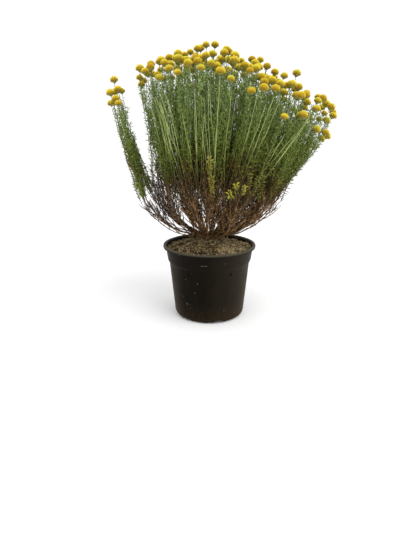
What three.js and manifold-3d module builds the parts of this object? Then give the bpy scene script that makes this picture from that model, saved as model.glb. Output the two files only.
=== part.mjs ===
// A curry plant in a black nursery pot, in millimetres, +Z up, with its origin at the middle of the
// pot's underside. The pot holds a fill of soil, the woody base stands in a plain hole in that soil,
// and every leafy spray stands on the end of one woody twig. The front of the plant faces -Y, and its
// right side is +X.

import * as THREE from "three";
import { mergeVertices } from "three/addons/utils/BufferGeometryUtils.js";
import Module from "manifold-3d";

const wasm = await Module();
wasm.setup();

const FIT_GAP = 0.3;
const DEGREE = Math.PI / 180;
const GOLDEN_ANGLE = 137.508 * DEGREE;

// Pot: a moulded plastic wall with a lip, a wider collar below it, a step, and a rounded foot
const POT_SIDES = 24;
const POT_HEIGHT = 178;
const POT_WALL = 1.8;
const POT_FLOOR = 2;
const LIP_RADIUS = 112.5;
const LIP_DEPTH = 7.5;
const COLLAR_TOP_RADIUS = 106;
const COLLAR_FOOT_RADIUS = 101.8;
const COLLAR_FOOT_HEIGHT = 141;
const WALL_TOP_RADIUS = 98.2;
const WALL_TOP_HEIGHT = 135;
const WALL_FOOT_RADIUS = 87;
const FOOT_ROUND = 13;

// Four arches in the edge of the pot's foot, with a drain hole between each two of them
const ARCH_COUNT = 4;
const ARCH_FIRST = -75 * DEGREE;
const ARCH_RADIUS = 21;
const ARCH_RISE = 9;
const ARCH_INNER_REACH = 68;
const ARCH_OUTER_REACH = 94;
const ARCH_SIDES = 12;
const DRAIN_RADIUS = 5;
const DRAIN_REACH = 52;
const DRAIN_SIDES = 6;

// Six small slots through the wall just under the step
const SLOT_COUNT = 6;
const SLOT_HEIGHT = 125;
const SLOT_SIZE = [8, 4.5, 6.5];

// Soil: fills the pot to just below the lip, and rises to a mound round the plant's crown
const SOIL_EDGE_HEIGHT = 167.5;
const SOIL_MOUND = 22;
const SOIL_CRUMB = 3;
const SOIL_RINGS = [34, 62, 94];

// Woody base: a short crown, boughs that fork into three twigs each, and bare twigs on both
const CROWN_SIDES = 6;
const CROWN_RADIUS = 15;
const CROWN_FOOT_HEIGHT = 146;
const CROWN_SHOULDER_HEIGHT = 194;
const CROWN_TOP_HEIGHT = 205;
const BOUGH_START = { reach: 5, height: 197 };
const BOUGH_BEND = { reach: 0.82, rise: 0.12 };
const BOUGH_COUNT = 13;
const INNER_BOUGHS = 6;
const BOUGH_RADIUS = 4;
const BOUGH_FORK = 0.45;
const TWIG_RADII = [2.8, 2.3];
const BARE_TWIGS = { place: 0.42, length: 52, base: 4, leans: [40 * DEGREE, 28 * DEGREE], use: 42 };
const LOW_BARE_TWIGS = { place: 0.66, length: 58, base: 5, leans: [44 * DEGREE, 32 * DEGREE], use: 43 };
const LEAST_RISE = 0.3;
// Stems are numbered from 0 for the seeded draws, and twigs and boughs from here on
const FIRST_TWIG = 1000;
const FIRST_BOUGH = 2000;

// Where the twigs end and the sprays begin: an oval above the crown, lower on the right
const FEET = { centre: 29, across: 137, deep: 120, height: 322, drop: 28, tilt: 12 };
const FOOT_PITCH = 38;
// Where the heads are: a wider oval, its highest point over the pot
const HEADS = { centre: 61, across: 212, deep: 142, height: 588, span: 256, drop: 105, dropDeep: 48 };
const HEAD_PITCH = 22.5;
const SPACING_ROUNDS = 80;

// Sprays: leafy stems that part just above one foot, each with one button head
const MAIN_STEMS = 5;
const SPRAY_FOOT_RADIUS = 3.1;
const SPRAY_FORK = 3;
const STEM_RADII = [2.7, 1.7];
const HEAD_RADIUS = 8.9;
const HEAD_ROWS = [112 * DEGREE, 60 * DEGREE];
// Stems' lengths differ a little over the plant, and more towards its right side
const HEIGHT_PLAY = 15;
const SIDE_SHORTENING = 60;

// Leaves: whorls of three narrow pointed leaves, longest near the stem's foot. Each stem has the first
// whorl, and every third stem has both.
const WHORLS = [0.12, 0.45];
const WHORL_STEP = 0.06;
const WHORL_PLAY = 0.02;
const LEAF_LENGTHS = [32, 26];
const LEAF_BASE = 5;
const LEAF_LEANS = [32 * DEGREE, 20 * DEGREE];
const SWINGS = [0, 18 * DEGREE, -18 * DEGREE];
const LEAF_CLEARANCE = 0.5;
const LEAF_SHORTENING = 0.84;
const LEAF_SHORTEST = 8;

// Boughs whose sprays stand apart from the rest: a bunch far left, and two sprays low on the right
const APART = [
  [
    {
      foot: [-158, -20, 296],
      heads: [[-192, -44, 491], [-200, -30, 501], [-207, -22, 494]],
    },
    {
      foot: [-151, 0, 292],
      heads: [[-207, 0, 541], [-197, -12, 521], [-214, -14, 514]],
    },
    {
      foot: [-158, 20, 296],
      heads: [[-195, 16, 520], [-211, 18, 518], [-220, 14, 495]],
    },
  ],
  [
    {
      foot: [130, -30, 280],
      heads: [[225, -56, 439], [250, -38, 432], [254, -22, 458], [256, -40, 484]],
    },
    {
      foot: [128, 34, 280],
      heads: [[275, 38, 426], [257, 18, 420], [252, 34, 463], [268, 54, 476]],
    },
  ],
];

// Heads that stand out, each the one of the rest that is nearest to its place: the highest ones, those
// on the right shoulder, one on a long stem behind them, and one on a short stem at the front
const ODD_HEADS = [
  [-8, -20, 604],
  [11, 0, 608],
  [-20, 10, 603],
  [105, -20, 576],
  [118, -34, 562],
  [137, -20, 553],
  [92, 20, 583],
  [183, -20, 551],
  [143, -128, 461],
];

// A bough with no live sprays, between the far left bunch and the rest
const BARE_BOUGH = [[-134, -30, 312], [-124, -6, 326], [-132, 18, 316]];

const vector = (x, y, z) => new THREE.Vector3(x, y, z);
const lerp = THREE.MathUtils.lerp;

// A seeded draw from 0 to 1: the same item and use always give the same value
function draw(item, use) {
  const wave = Math.sin(item * 12.9898 + use * 78.233) * 43758.5453;
  return wave - Math.floor(wave);
}
const play = (item, use, size) => (2 * draw(item, use) - 1) * size;

// A closed three.js geometry as a solid, and a solid as a named mesh
function solid(geometry) {
  const bare = new THREE.BufferGeometry();
  bare.setAttribute("position", geometry.getAttribute("position"));
  bare.setIndex(geometry.getIndex());
  const merged = mergeVertices(bare, 1e-3);
  const corners = merged.getIndex().array;
  const kept = [];
  for (let i = 0; i < corners.length; i += 3) {
    const [a, b, c] = corners.slice(i, i + 3);
    if (a !== b && b !== c && c !== a) kept.push(a, b, c);
  }
  return new wasm.Manifold(
    new wasm.Mesh({
      numProp: 3,
      vertProperties: merged.getAttribute("position").array,
      triVerts: new Uint32Array(kept),
    }),
  );
}

function mesh(name, body, material) {
  const { vertProperties, triVerts } = body.getMesh();
  const geometry = new THREE.BufferGeometry();
  geometry.setAttribute("position", new THREE.BufferAttribute(vertProperties, 3));
  geometry.setIndex(new THREE.BufferAttribute(triVerts, 1));
  geometry.computeVertexNormals();
  const made = new THREE.Mesh(geometry, material);
  made.name = name;
  return made;
}

// A shape turned round Z from [radius, height] points that run up from the axis and back to it, with
// the middle of a side on each axis
function turned(points, sides) {
  const profile = points.map(([radius, height]) => new THREE.Vector2(radius, height));
  return new THREE.LatheGeometry(profile, sides).rotateX(Math.PI / 2).rotateZ(Math.PI / sides);
}

// Points up the pot's wall from the foot to the collar's top, moved in by a distance
function wallPoints(inset, floor, corners) {
  const round = Math.max(FOOT_ROUND - inset, 1);
  const edge = WALL_FOOT_RADIUS - inset;
  const corner = corners.map((degrees) => [
    edge - round + round * Math.sin(degrees * DEGREE),
    floor + round - round * Math.cos(degrees * DEGREE),
  ]);
  return [
    ...corner,
    [WALL_TOP_RADIUS - inset, WALL_TOP_HEIGHT],
    [COLLAR_FOOT_RADIUS - inset, COLLAR_FOOT_HEIGHT],
  ];
}

// An arch cutter: a cylinder along a radius of the foot, grown by a wall's thickness
function arch(angle, grown) {
  const inner = ARCH_INNER_REACH - grown;
  const length = ARCH_OUTER_REACH - inner;
  return solid(
    new THREE.CylinderGeometry(ARCH_RADIUS + grown, ARCH_RADIUS + grown, length, ARCH_SIDES)
      .rotateZ(-Math.PI / 2)
      .translate(inner + length / 2, 0, ARCH_RISE - ARCH_RADIUS)
      .rotateZ(angle),
  );
}

function drain(angle, reach) {
  return solid(
    new THREE.CylinderGeometry(DRAIN_RADIUS, DRAIN_RADIUS, 3 * ARCH_RISE, DRAIN_SIDES)
      .rotateX(Math.PI / 2)
      .translate(reach, 0, ARCH_RISE)
      .rotateZ(angle),
  );
}

const archAngle = (i) => ARCH_FIRST + (i * 2 * Math.PI) / ARCH_COUNT;

function pot() {
  const outside = solid(
    turned(
      [
        [0, 0],
        ...wallPoints(0, 0, [0, 45, 90]),
        [COLLAR_TOP_RADIUS, POT_HEIGHT - LIP_DEPTH],
        [LIP_RADIUS, POT_HEIGHT - LIP_DEPTH],
        [LIP_RADIUS, POT_HEIGHT],
        [0, POT_HEIGHT],
      ],
      POT_SIDES,
    ),
  );
  const inside = solid(
    turned(
      [
        [0, POT_FLOOR],
        ...wallPoints(POT_WALL, POT_FLOOR, [0, 90]),
        [COLLAR_TOP_RADIUS - POT_WALL, POT_HEIGHT - LIP_DEPTH],
        [COLLAR_TOP_RADIUS, POT_HEIGHT + 1],
        [0, POT_HEIGHT + 1],
      ],
      POT_SIDES,
    ),
  );
  let body = outside.subtract(inside);
  for (let i = 0; i < ARCH_COUNT; i++) {
    const roof = arch(archAngle(i), POT_WALL).intersect(outside);
    body = body.add(roof).subtract(arch(archAngle(i), 0));
    body = body.subtract(drain(archAngle(i) + Math.PI / ARCH_COUNT, DRAIN_REACH));
  }
  for (let i = 0; i < SLOT_COUNT; i++) {
    const slot = new THREE.BoxGeometry(...SLOT_SIZE)
      .translate(WALL_TOP_RADIUS - POT_WALL, 0, SLOT_HEIGHT)
      .rotateZ((i * 2 * Math.PI) / SLOT_COUNT);
    body = body.subtract(solid(slot));
  }
  return body;
}

// The soil's surface: a mound with crumbs
function soilHeight(x, y) {
  const out = Math.hypot(x, y) / SOIL_RINGS.at(-1);
  const mound = SOIL_MOUND * Math.max(0, 1 - out * out) ** 2;
  const crumbs = Math.sin(x * 0.21 + 1.3 * Math.cos(y * 0.17)) + Math.sin(y * 0.26 - x * 0.09 + 2);
  return SOIL_EDGE_HEIGHT + mound + (SOIL_CRUMB * crumbs) / 2;
}

function soil() {
  const inset = POT_WALL + FIT_GAP + 0.1;
  const rimRadius = lerp(
    COLLAR_FOOT_RADIUS,
    COLLAR_TOP_RADIUS,
    (SOIL_EDGE_HEIGHT - COLLAR_FOOT_HEIGHT) / (POT_HEIGHT - LIP_DEPTH - COLLAR_FOOT_HEIGHT),
  );
  const hole = CROWN_RADIUS + FIT_GAP + 0.1;
  const surface = [hole, ...SOIL_RINGS].map((radius) => [radius, SOIL_EDGE_HEIGHT]).reverse();
  const geometry = turned(
    [
      [0, POT_FLOOR + FIT_GAP],
      ...wallPoints(inset, POT_FLOOR + FIT_GAP, [0, 90]),
      [rimRadius - inset, SOIL_EDGE_HEIGHT],
      ...surface,
      [hole, CROWN_FOOT_HEIGHT - FIT_GAP],
      [0, CROWN_FOOT_HEIGHT - FIT_GAP],
    ],
    POT_SIDES,
  );
  const points = geometry.getAttribute("position");
  for (let i = 0; i < points.count; i++) {
    const reach = Math.hypot(points.getX(i), points.getY(i));
    const onTop = points.getZ(i) > SOIL_EDGE_HEIGHT - 0.01 && reach < SOIL_RINGS.at(-1) + 1;
    if (onTop) points.setZ(i, soilHeight(points.getX(i), points.getY(i)));
  }
  let body = solid(geometry);
  for (let i = 0; i < ARCH_COUNT; i++) body = body.subtract(arch(archAngle(i), POT_WALL + FIT_GAP));
  return body;
}

// A closed skin made ring by ring along a stem
class Skin {
  points = [];
  faces = [];

  point(place) {
    this.points.push(place.x, place.y, place.z);
    return this.points.length / 3 - 1;
  }

  ring(places) {
    return places.map((place) => this.point(place));
  }

  face(...corners) {
    this.faces.push(...corners);
  }

  // A plain wall between two rings of the same count
  wall(low, high) {
    low.forEach((a, k) => {
      const next = (k + 1) % low.length;
      this.face(a, low[next], high[next]);
      this.face(a, high[next], high[k]);
    });
  }

  // A wall between two rings, each side drawn out to its tip where it has one
  spikes(low, high, tips) {
    low.forEach((a, k) => {
      const next = (k + 1) % low.length;
      if (!tips[k]) {
        this.face(a, low[next], high[next]);
        this.face(a, high[next], high[k]);
        return;
      }
      const tip = this.point(tips[k]);
      this.face(a, low[next], tip);
      this.face(low[next], high[next], tip);
      this.face(high[next], high[k], tip);
      this.face(high[k], a, tip);
    });
  }

  // A wall from a ring up to one with twice the count
  flare(low, high) {
    low.forEach((a, k) => {
      const next = (k + 1) % low.length;
      const double = (2 * k + 2) % high.length;
      this.face(a, low[next], high[2 * k + 1]);
      this.face(a, high[2 * k + 1], high[2 * k]);
      this.face(low[next], high[double], high[2 * k + 1]);
    });
  }

  crown(ring, top) {
    const apex = this.point(top);
    ring.forEach((a, k) => this.face(a, ring[(k + 1) % ring.length], apex));
  }

  solid() {
    const geometry = new THREE.BufferGeometry();
    geometry.setAttribute("position", new THREE.Float32BufferAttribute(this.points, 3));
    geometry.setIndex(this.faces);
    return solid(geometry);
  }
}

// The place at an angle and a distance from a curve's line, at t along it
function besideCurve(curve, t, angle, distance) {
  const along = curve.getTangent(t);
  const across = vector(1, 0, 0).addScaledVector(along, -along.x).normalize();
  const third = along.clone().cross(across);
  return curve
    .getPoint(t)
    .addScaledVector(across, distance * Math.cos(angle))
    .addScaledVector(third, distance * Math.sin(angle));
}

const ringAngle = (turn, k, count) => turn + (k * 2 * Math.PI) / count;

// A ring of places round a curve
function ringPlaces(curve, t, turn, radius, count = 3) {
  const angles = Array.from({ length: count }, (_, k) => ringAngle(turn, k, count));
  return angles.map((angle) => besideCurve(curve, t, angle, radius));
}

// The angle of a direction round a curve's line
function angleRound(curve, t, direction) {
  const along = curve.getTangent(t);
  const across = vector(1, 0, 0).addScaledVector(along, -along.x).normalize();
  const third = along.clone().cross(across);
  return Math.atan2(direction.dot(third), direction.dot(across));
}

// A limb that parts into branches: a foot with two sides for each branch, then a three-sided branch
// along each branch's curve. The trunk's rows are made by growTrunk, and each branch's by grow, from a
// first ring.
function partedLimb(skin, trunk, turn, radius, branches, growTrunk, grow) {
  const sides = 2 * branches.length;
  const foot = skin.ring(ringPlaces(trunk, 0, turn, radius, sides));
  for (let k = 1; k < sides - 1; k++) skin.face(foot[0], foot[k + 1], foot[k]);
  const low = growTrunk(foot);
  const middle = skin.point(trunk.getPoint(1).addScaledVector(trunk.getTangent(1), radius * 0.6));
  branches.forEach((branch, k) => {
    const quad = [low[2 * k], low[2 * k + 1], low[(2 * k + 2) % sides], middle];
    const ring = skin.ring(ringPlaces(branch.curve, branch.start, branch.turn, branch.radius));
    skin.face(quad[0], quad[1], ring[1]);
    skin.face(quad[1], quad[2], ring[1]);
    skin.face(quad[2], ring[2], ring[1]);
    skin.face(quad[2], quad[3], ring[2]);
    skin.face(quad[3], ring[0], ring[2]);
    skin.face(quad[3], quad[0], ring[0]);
    skin.face(quad[0], ring[1], ring[0]);
    grow(branch, ring);
  });
}

// Where a trunk parts towards some places: the place for each branch in turn round the trunk, where
// the branch starts, which way it leaves, and the turn of its three-sided ring, whose second corner
// points out
function partings(trunk, places, reach, spread) {
  const count = places.length;
  const middle = meanOf(places);
  const around = places.map((place) => angleRound(trunk, 1, place.clone().sub(middle)));
  const order = places.map((_, k) => k).sort((a, b) => around[a] - around[b]);
  const offsets = order.map((item, k) => around[item] - ringAngle(0, k, count));
  const sum = (values) => values.reduce((total, value) => total + value, 0);
  const first = Math.atan2(sum(offsets.map(Math.sin)), sum(offsets.map(Math.cos)));
  return order.map((item, k) => {
    const angle = ringAngle(first, k, count);
    const out = besideCurve(trunk, 1, angle, 1).sub(trunk.getPoint(1));
    return {
      item,
      angle,
      from: besideCurve(trunk, 1, angle, reach),
      leaving: trunk.getTangent(1).addScaledVector(out, spread).normalize(),
      turn: angle - 120 * DEGREE,
    };
  });
}

const meanOf = (places) =>
  places.reduce((total, place) => total.add(place), vector(0, 0, 0)).divideScalar(places.length);

// Moves points on a unit disc apart until each has its pitch on the oval, and keeps them on the disc
function spaceOut(points, oval, pitch) {
  for (let round = 0; round < SPACING_ROUNDS; round++) {
    const moves = points.map((a) => {
      const move = { x: 0, y: 0 };
      points.forEach((b) => {
        const dx = (a.x - b.x) * oval.across;
        const dy = (a.y - b.y) * oval.deep;
        const apart = Math.hypot(dx, dy);
        if (a === b || apart >= pitch) return;
        move.x += ((dx / apart) * (pitch - apart) * 0.4) / oval.across;
        move.y += ((dy / apart) * (pitch - apart) * 0.4) / oval.deep;
      });
      return move;
    });
    points.forEach((point, i) => {
      point.x += moves[i].x;
      point.y += moves[i].y;
      const out = Math.max(1, Math.hypot(point.x, point.y));
      point.x /= out;
      point.y /= out;
    });
  }
}

// A group of points round each of a list's points
function groupsRound(points, count, reach, use) {
  return points.flatMap((point, i) => {
    const turn = draw(i, use) * 2 * Math.PI;
    return Array.from({ length: count }, (_, k) => ({
      parent: i,
      x: point.x + reach * Math.cos(ringAngle(turn, k, count)),
      y: point.y + reach * Math.sin(ringAngle(turn, k, count)),
    }));
  });
}

function footOf(x, y) {
  const out = Math.hypot(x, y);
  const fall = out * (FEET.drop * out + FEET.tilt * x);
  return vector(FEET.centre + FEET.across * x, FEET.deep * y, FEET.height - fall);
}

function headHeight(x, y) {
  const across = Math.abs(x) / HEADS.span;
  const deep = y / HEADS.deep;
  return HEADS.height - HEADS.drop * across ** 1.7 - HEADS.dropDeep * deep ** 2;
}

function headPlace({ x, y }) {
  const place = vector(HEADS.centre + HEADS.across * x, HEADS.deep * y, 0);
  place.z = headHeight(place.x, place.y);
  return place;
}

// The boughs of the full part of the plant, each with its sprays' feet and the places of their heads
function mainBoughs() {
  const centres = Array.from({ length: BOUGH_COUNT }, (_, i) => {
    const out = 0.86 * Math.sqrt((i + 0.5) / BOUGH_COUNT);
    return { x: out * Math.cos(i * GOLDEN_ANGLE), y: out * Math.sin(i * GOLDEN_ANGLE) };
  });
  const feet = groupsRound(centres, 3, 0.16, 1);
  spaceOut(feet, FEET, FOOT_PITCH);
  const heads = groupsRound(feet, MAIN_STEMS, 0.09, 2);
  spaceOut(heads, HEADS, HEAD_PITCH);
  const sprays = feet.map((foot, j) => ({
    bough: foot.parent,
    foot: footOf(foot.x, foot.y),
    heads: heads.filter((head) => head.parent === j).map(headPlace),
  }));
  return centres.map((_, i) => ({ sprays: sprays.filter((spray) => spray.bough === i) }));
}

// A bough whose sprays stand apart from the rest
function apartBough(bunch) {
  const sprays = bunch.map(({ foot, heads }) => ({
    foot: vector(...foot),
    heads: heads.map((place) => Object.assign(vector(...place), { fixed: true })),
  }));
  return { sprays };
}

function planBoughs() {
  const boughs = mainBoughs();
  const heads = boughs.flatMap((bough) => bough.sprays.flatMap((spray) => spray.heads));
  ODD_HEADS.forEach(([x, y, z]) => {
    const away = (place) => Math.hypot(place.x - x, place.y - y);
    const odd = heads.reduce((best, place) => (away(place) < away(best) ? place : best));
    Object.assign(odd, { x, y, z, fixed: true });
  });
  const bare = BARE_BOUGH.map((place) => ({ foot: vector(...place), heads: [] }));
  return [...boughs, ...APART.map(apartBough), { sprays: bare }];
}

// The woody line from the crown to a place: out low over the soil, then up
function woodyCurve(place) {
  const flat = Math.hypot(place.x, place.y) || 1;
  const start = vector(
    (place.x / flat) * BOUGH_START.reach,
    (place.y / flat) * BOUGH_START.reach,
    BOUGH_START.height,
  );
  const bend = vector(
    place.x * BOUGH_BEND.reach,
    place.y * BOUGH_BEND.reach,
    lerp(BOUGH_START.height, place.z, BOUGH_BEND.rise),
  );
  return new THREE.QuadraticBezierCurve3(start, bend, place);
}

// The part of a curve up to t, as a curve of its own
function curveStart(curve, t) {
  const points = [0, 1, 2, 3].map((k) => curve.getPoint((k / 3) * t));
  return new THREE.CatmullRomCurve3(points);
}

function bendBetween(start, leaving, end, arriving) {
  const reach = start.distanceTo(end);
  return new THREE.CubicBezierCurve3(
    start,
    start.clone().addScaledVector(leaving, reach / 3),
    end.clone().addScaledVector(arriving, -reach / 3),
    end,
  );
}

// A bough's trunk and its three twigs, one to each of its sprays' feet
function shapeBough(bough, i) {
  const feet = bough.sprays.map((spray) => spray.foot);
  bough.trunk = curveStart(woodyCurve(meanOf(feet)), BOUGH_FORK * (1 + play(i, 40, 0.12)));
  bough.twigs = partings(bough.trunk, feet, BOUGH_RADIUS * 0.55, 0.5).map((parting, k) => {
    const spray = bough.sprays[parting.item];
    const arriving = woodyCurve(spray.foot).getTangent(1);
    const curve = bendBetween(parting.from, parting.leaving, spray.foot, arriving);
    spray.rise = curve.getTangent(1);
    const n = FIRST_TWIG + i * 3 + k;
    return { ...parting, n, curve, start: 0.12, radius: TWIG_RADII[0], reach: curve.getLength() };
  });
}

function boughBody(bough, i, obstacles) {
  const skin = new Skin();
  const { trunk, twigs } = bough;
  const sides = 2 * twigs.length;
  const turn = twigs[0].angle - Math.PI / twigs.length;
  const stub = { n: FIRST_BOUGH + i, curve: trunk, turn, reach: trunk.getLength() };
  const growTrunk = (foot) => {
    if (i < INNER_BOUGHS) {
      const end = skin.ring(ringPlaces(trunk, 1, turn, BOUGH_RADIUS, sides));
      skin.wall(foot, end);
      return end;
    }
    const place = LOW_BARE_TWIGS.place + play(i, 44, 0.1);
    const over = whorl(skin, stub, foot, place, BOUGH_RADIUS, LOW_BARE_TWIGS, obstacles);
    const last = skin.ring(ringPlaces(trunk, 1, turn, BOUGH_RADIUS, sides));
    skin.wall(over, last);
    return last;
  };
  partedLimb(skin, trunk, turn, BOUGH_RADIUS, twigs, growTrunk, (twig, ring) => {
    const place = BARE_TWIGS.place + play(twig.n, 41, 0.14);
    const over = whorl(skin, twig, ring, place, lerp(...TWIG_RADII, place), BARE_TWIGS, obstacles);
    const last = skin.ring(ringPlaces(twig.curve, 1, twig.turn, TWIG_RADII[1]));
    skin.wall(over, last);
    skin.face(...last);
  });
  return skin.solid();
}

function woodyBase(boughs, obstacles) {
  const crown = turned(
    [
      [0, CROWN_FOOT_HEIGHT],
      [CROWN_RADIUS * 0.8, CROWN_FOOT_HEIGHT],
      [CROWN_RADIUS, CROWN_SHOULDER_HEIGHT],
      [CROWN_RADIUS * 0.7, CROWN_TOP_HEIGHT - 4],
      [0, CROWN_TOP_HEIGHT],
    ],
    CROWN_SIDES,
  );
  let body = solid(crown);
  boughs.forEach((bough, i) => {
    body = body.add(boughBody(bough, i, obstacles));
  });
  return body;
}

// A spray's short foot and its stems
function shapeSpray(spray, i) {
  const foot = spray.foot.clone().addScaledVector(spray.rise, FIT_GAP);
  const way = meanOf(spray.heads).sub(foot).normalize();
  const fork = foot.clone().addScaledVector(spray.rise.clone().lerp(way, 0.4).normalize(), SPRAY_FORK);
  spray.trunk = bendBetween(foot, spray.rise, fork, way);
  spray.stems = partings(spray.trunk, spray.heads, SPRAY_FOOT_RADIUS * 0.55, 0.22).map((parting, k) => {
    const n = i * MAIN_STEMS + k;
    const place = spray.heads[parting.item];
    const head = place.clone();
    const along = head.clone().sub(parting.from).normalize();
    const side = THREE.MathUtils.clamp(head.x / HEADS.span, 0, 1);
    const growth = play(n, 3, HEIGHT_PLAY) - SIDE_SHORTENING * side * draw(n, 4) ** 2;
    head.addScaledVector(along, place.fixed ? 0 : growth);
    const arriving = along.lerp(vector(0, 0, 1), 0.3).normalize();
    const curve = bendBetween(parting.from, parting.leaving, head, arriving);
    const headRadius = HEAD_RADIUS * (1 + play(n, 5, 0.12));
    const sizes = { headRadius, start: 0.05, radius: STEM_RADII[0], reach: curve.getLength() };
    return { ...parting, ...sizes, n, k, curve, head };
  });
}

// The shortest distance between two straight pieces
function pieceGap(a, b) {
  const u = a.to.clone().sub(a.from);
  const v = b.to.clone().sub(b.from);
  const w = a.from.clone().sub(b.from);
  const [uu, uv, vv, uw, vw] = [u.dot(u), u.dot(v), v.dot(v), u.dot(w), v.dot(w)];
  const clamp = (value) => THREE.MathUtils.clamp(value, 0, 1);
  const scale = uu * vv - uv * uv;
  let s = scale > 1e-9 ? clamp((uv * vw - vv * uw) / scale) : 0;
  const t = vv > 1e-9 ? clamp((uv * s + vw) / vv) : 0;
  s = uu > 1e-9 ? clamp((uv * t - uw) / uu) : 0;
  return w.addScaledVector(u, s).addScaledVector(v, -t).length();
}

// What leaves and bare twigs have to stay clear of: other stems, their heads, and what grows on them
function curvePieces(stem, thick) {
  return Array.from({ length: 6 }, (_, row) => ({
    stem: stem.n,
    from: stem.curve.getPoint(row / 6),
    to: stem.curve.getPoint((row + 1) / 6),
    thick,
  }));
}

function boughPieces({ trunk, twigs }, i) {
  const stub = { n: FIRST_BOUGH + i, curve: trunk };
  const pieces = twigs.flatMap((twig) => curvePieces(twig, TWIG_RADII[0]));
  return [...curvePieces(stub, BOUGH_RADIUS), ...pieces];
}

function stemPieces(stem) {
  const head = { stem: stem.n, from: stem.head, to: stem.head, thick: stem.headRadius * 1.1 };
  return [...curvePieces(stem, STEM_RADII[0]), head];
}

// The tip of the longest leaf that finds room beside a stem, or nothing
function freeTip(stem, t, angle, length, leans, obstacles) {
  const root = stem.curve.getPoint(t);
  const here = { from: root, to: root };
  const others = obstacles.filter((other) => other.stem !== stem.n);
  const near = others.filter((other) => pieceGap(here, other) < length + 12);
  let best = null;
  for (const lean of leans) {
    for (const swing of SWINGS) {
      const out = besideCurve(stem.curve, t, angle + swing, 1).sub(root);
      const way = stem.curve.getTangent(t).multiplyScalar(Math.cos(lean));
      way.addScaledVector(out, Math.sin(lean));
      if (way.z < LEAST_RISE) continue;
      const leaf = { stem: stem.n, from: root, thick: 1.6 };
      const free = (other) => pieceGap(leaf, other) >= other.thick + leaf.thick + LEAF_CLEARANCE;
      const least = Math.max(LEAF_SHORTEST, best?.size ?? 0);
      for (let size = length; size > least; size *= LEAF_SHORTENING) {
        leaf.to = root.clone().addScaledVector(way, size);
        if (!near.every(free)) continue;
        best = { ...leaf, size };
        break;
      }
    }
  }
  if (best) obstacles.push(best);
  return best?.to;
}

// A plain length of stem from a ring up to a whorl of leaves or bare twigs, one on each side
function whorl(skin, stem, low, t, radius, leaves, obstacles) {
  const half = leaves.base / 2 / stem.reach;
  const sides = low.length;
  const under = skin.ring(ringPlaces(stem.curve, t - half, stem.turn, radius, sides));
  const over = skin.ring(ringPlaces(stem.curve, t + half, stem.turn, radius, sides));
  const tips = low.map((_, side) => {
    const length = leaves.length * (1 + play(stem.n * sides + side, leaves.use, 0.15));
    const angle = ringAngle(stem.turn, side + 0.5, sides);
    return freeTip(stem, t, angle, length, leaves.leans, obstacles);
  });
  skin.wall(low, under);
  skin.spikes(under, over, tips);
  return over;
}

// The rows of one leafy stem with its head, on the stem's first ring
function growStem(skin, stem, first, obstacles) {
  let low = first;
  WHORLS.slice(0, stem.n % 3 ? 1 : 2).forEach((place, w) => {
    const t = place + WHORL_STEP * stem.k + play(stem.n, 6 + w, WHORL_PLAY);
    const leaves = { length: LEAF_LENGTHS[w], base: LEAF_BASE, leans: LEAF_LEANS, use: 10 + w };
    low = whorl(skin, stem, low, t, lerp(...STEM_RADII, t), leaves, obstacles);
  });
  buttonHead(skin, low, stem);
}

// The head: a slightly flat ball of knobs on the stem's neck
function buttonHead(skin, low, stem) {
  const { curve, turn, headRadius } = stem;
  const along = curve.getTangent(1);
  const across = vector(1, 0, 0).addScaledVector(along, -along.x).normalize();
  const third = along.clone().cross(across);
  const place = (polar, angle, size) =>
    stem.head
      .clone()
      .addScaledVector(along, size * 0.9 * Math.cos(polar))
      .addScaledVector(across, size * Math.sin(polar) * Math.cos(angle))
      .addScaledVector(third, size * Math.sin(polar) * Math.sin(angle));
  const neck = skin.ring(ringPlaces(curve, 1 - (0.85 * headRadius) / stem.reach, turn, STEM_RADII[1]));
  skin.wall(low, neck);
  const rings = HEAD_ROWS.map((polar, row) =>
    skin.ring(
      [0, 1, 2, 3, 4, 5].map((j) =>
        place(polar, ringAngle(turn, j, 6), headRadius * ((j + row) % 2 ? 1.1 : 0.9)),
      ),
    ),
  );
  skin.flare(neck, rings[0]);
  for (let row = 1; row < rings.length; row++) skin.wall(rings[row - 1], rings[row]);
  skin.crown(rings.at(-1), place(0, 0, headRadius * 1.1));
}

function sprayBody(spray, obstacles) {
  const skin = new Skin();
  const turn = spray.stems[0].angle - Math.PI / spray.stems.length;
  const noTrunk = (foot) => foot;
  partedLimb(skin, spray.trunk, turn, SPRAY_FOOT_RADIUS, spray.stems, noTrunk, (stem, ring) => {
    growStem(skin, stem, ring, obstacles);
  });
  return skin.solid();
}

const materials = {
  pot: new THREE.MeshStandardMaterial({ color: 0x24211e, roughness: 0.55, metalness: 0 }),
  soil: new THREE.MeshStandardMaterial({ color: 0x5a4a33, roughness: 1, metalness: 0 }),
  wood: new THREE.MeshStandardMaterial({ color: 0x5b412a, roughness: 0.9, metalness: 0 }),
  foliage: new THREE.MeshStandardMaterial({ color: 0x5d7a3c, roughness: 0.7, metalness: 0 }),
};

function plant() {
  const parts = new THREE.Group();
  const boughs = planBoughs();
  boughs.forEach(shapeBough);
  const sprays = boughs.flatMap((bough) => bough.sprays).filter((spray) => spray.heads.length);
  sprays.forEach(shapeSpray);
  const stems = sprays.flatMap((spray) => spray.stems);
  const obstacles = [...boughs.flatMap(boughPieces), ...stems.flatMap(stemPieces)];
  parts.add(mesh("woody_base", woodyBase(boughs, obstacles), materials.wood));
  sprays.forEach((spray, i) => {
    const name = `spray_${String(i + 1).padStart(2, "0")}`;
    parts.add(mesh(name, sprayBody(spray, obstacles), materials.foliage));
  });
  return parts;
}

const group = new THREE.Group();
group.add(mesh("pot", pot(), materials.pot));
group.add(mesh("soil", soil(), materials.soil));
group.add(plant());

export default group;
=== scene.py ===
"""A curry plant in flower in a black nursery pot: moulded plastic, littered soil, a bowl of brown
twigs, and fanned leafy stems with golden button heads."""

import math

import bpy
import numpy as np
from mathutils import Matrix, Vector, noise


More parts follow.
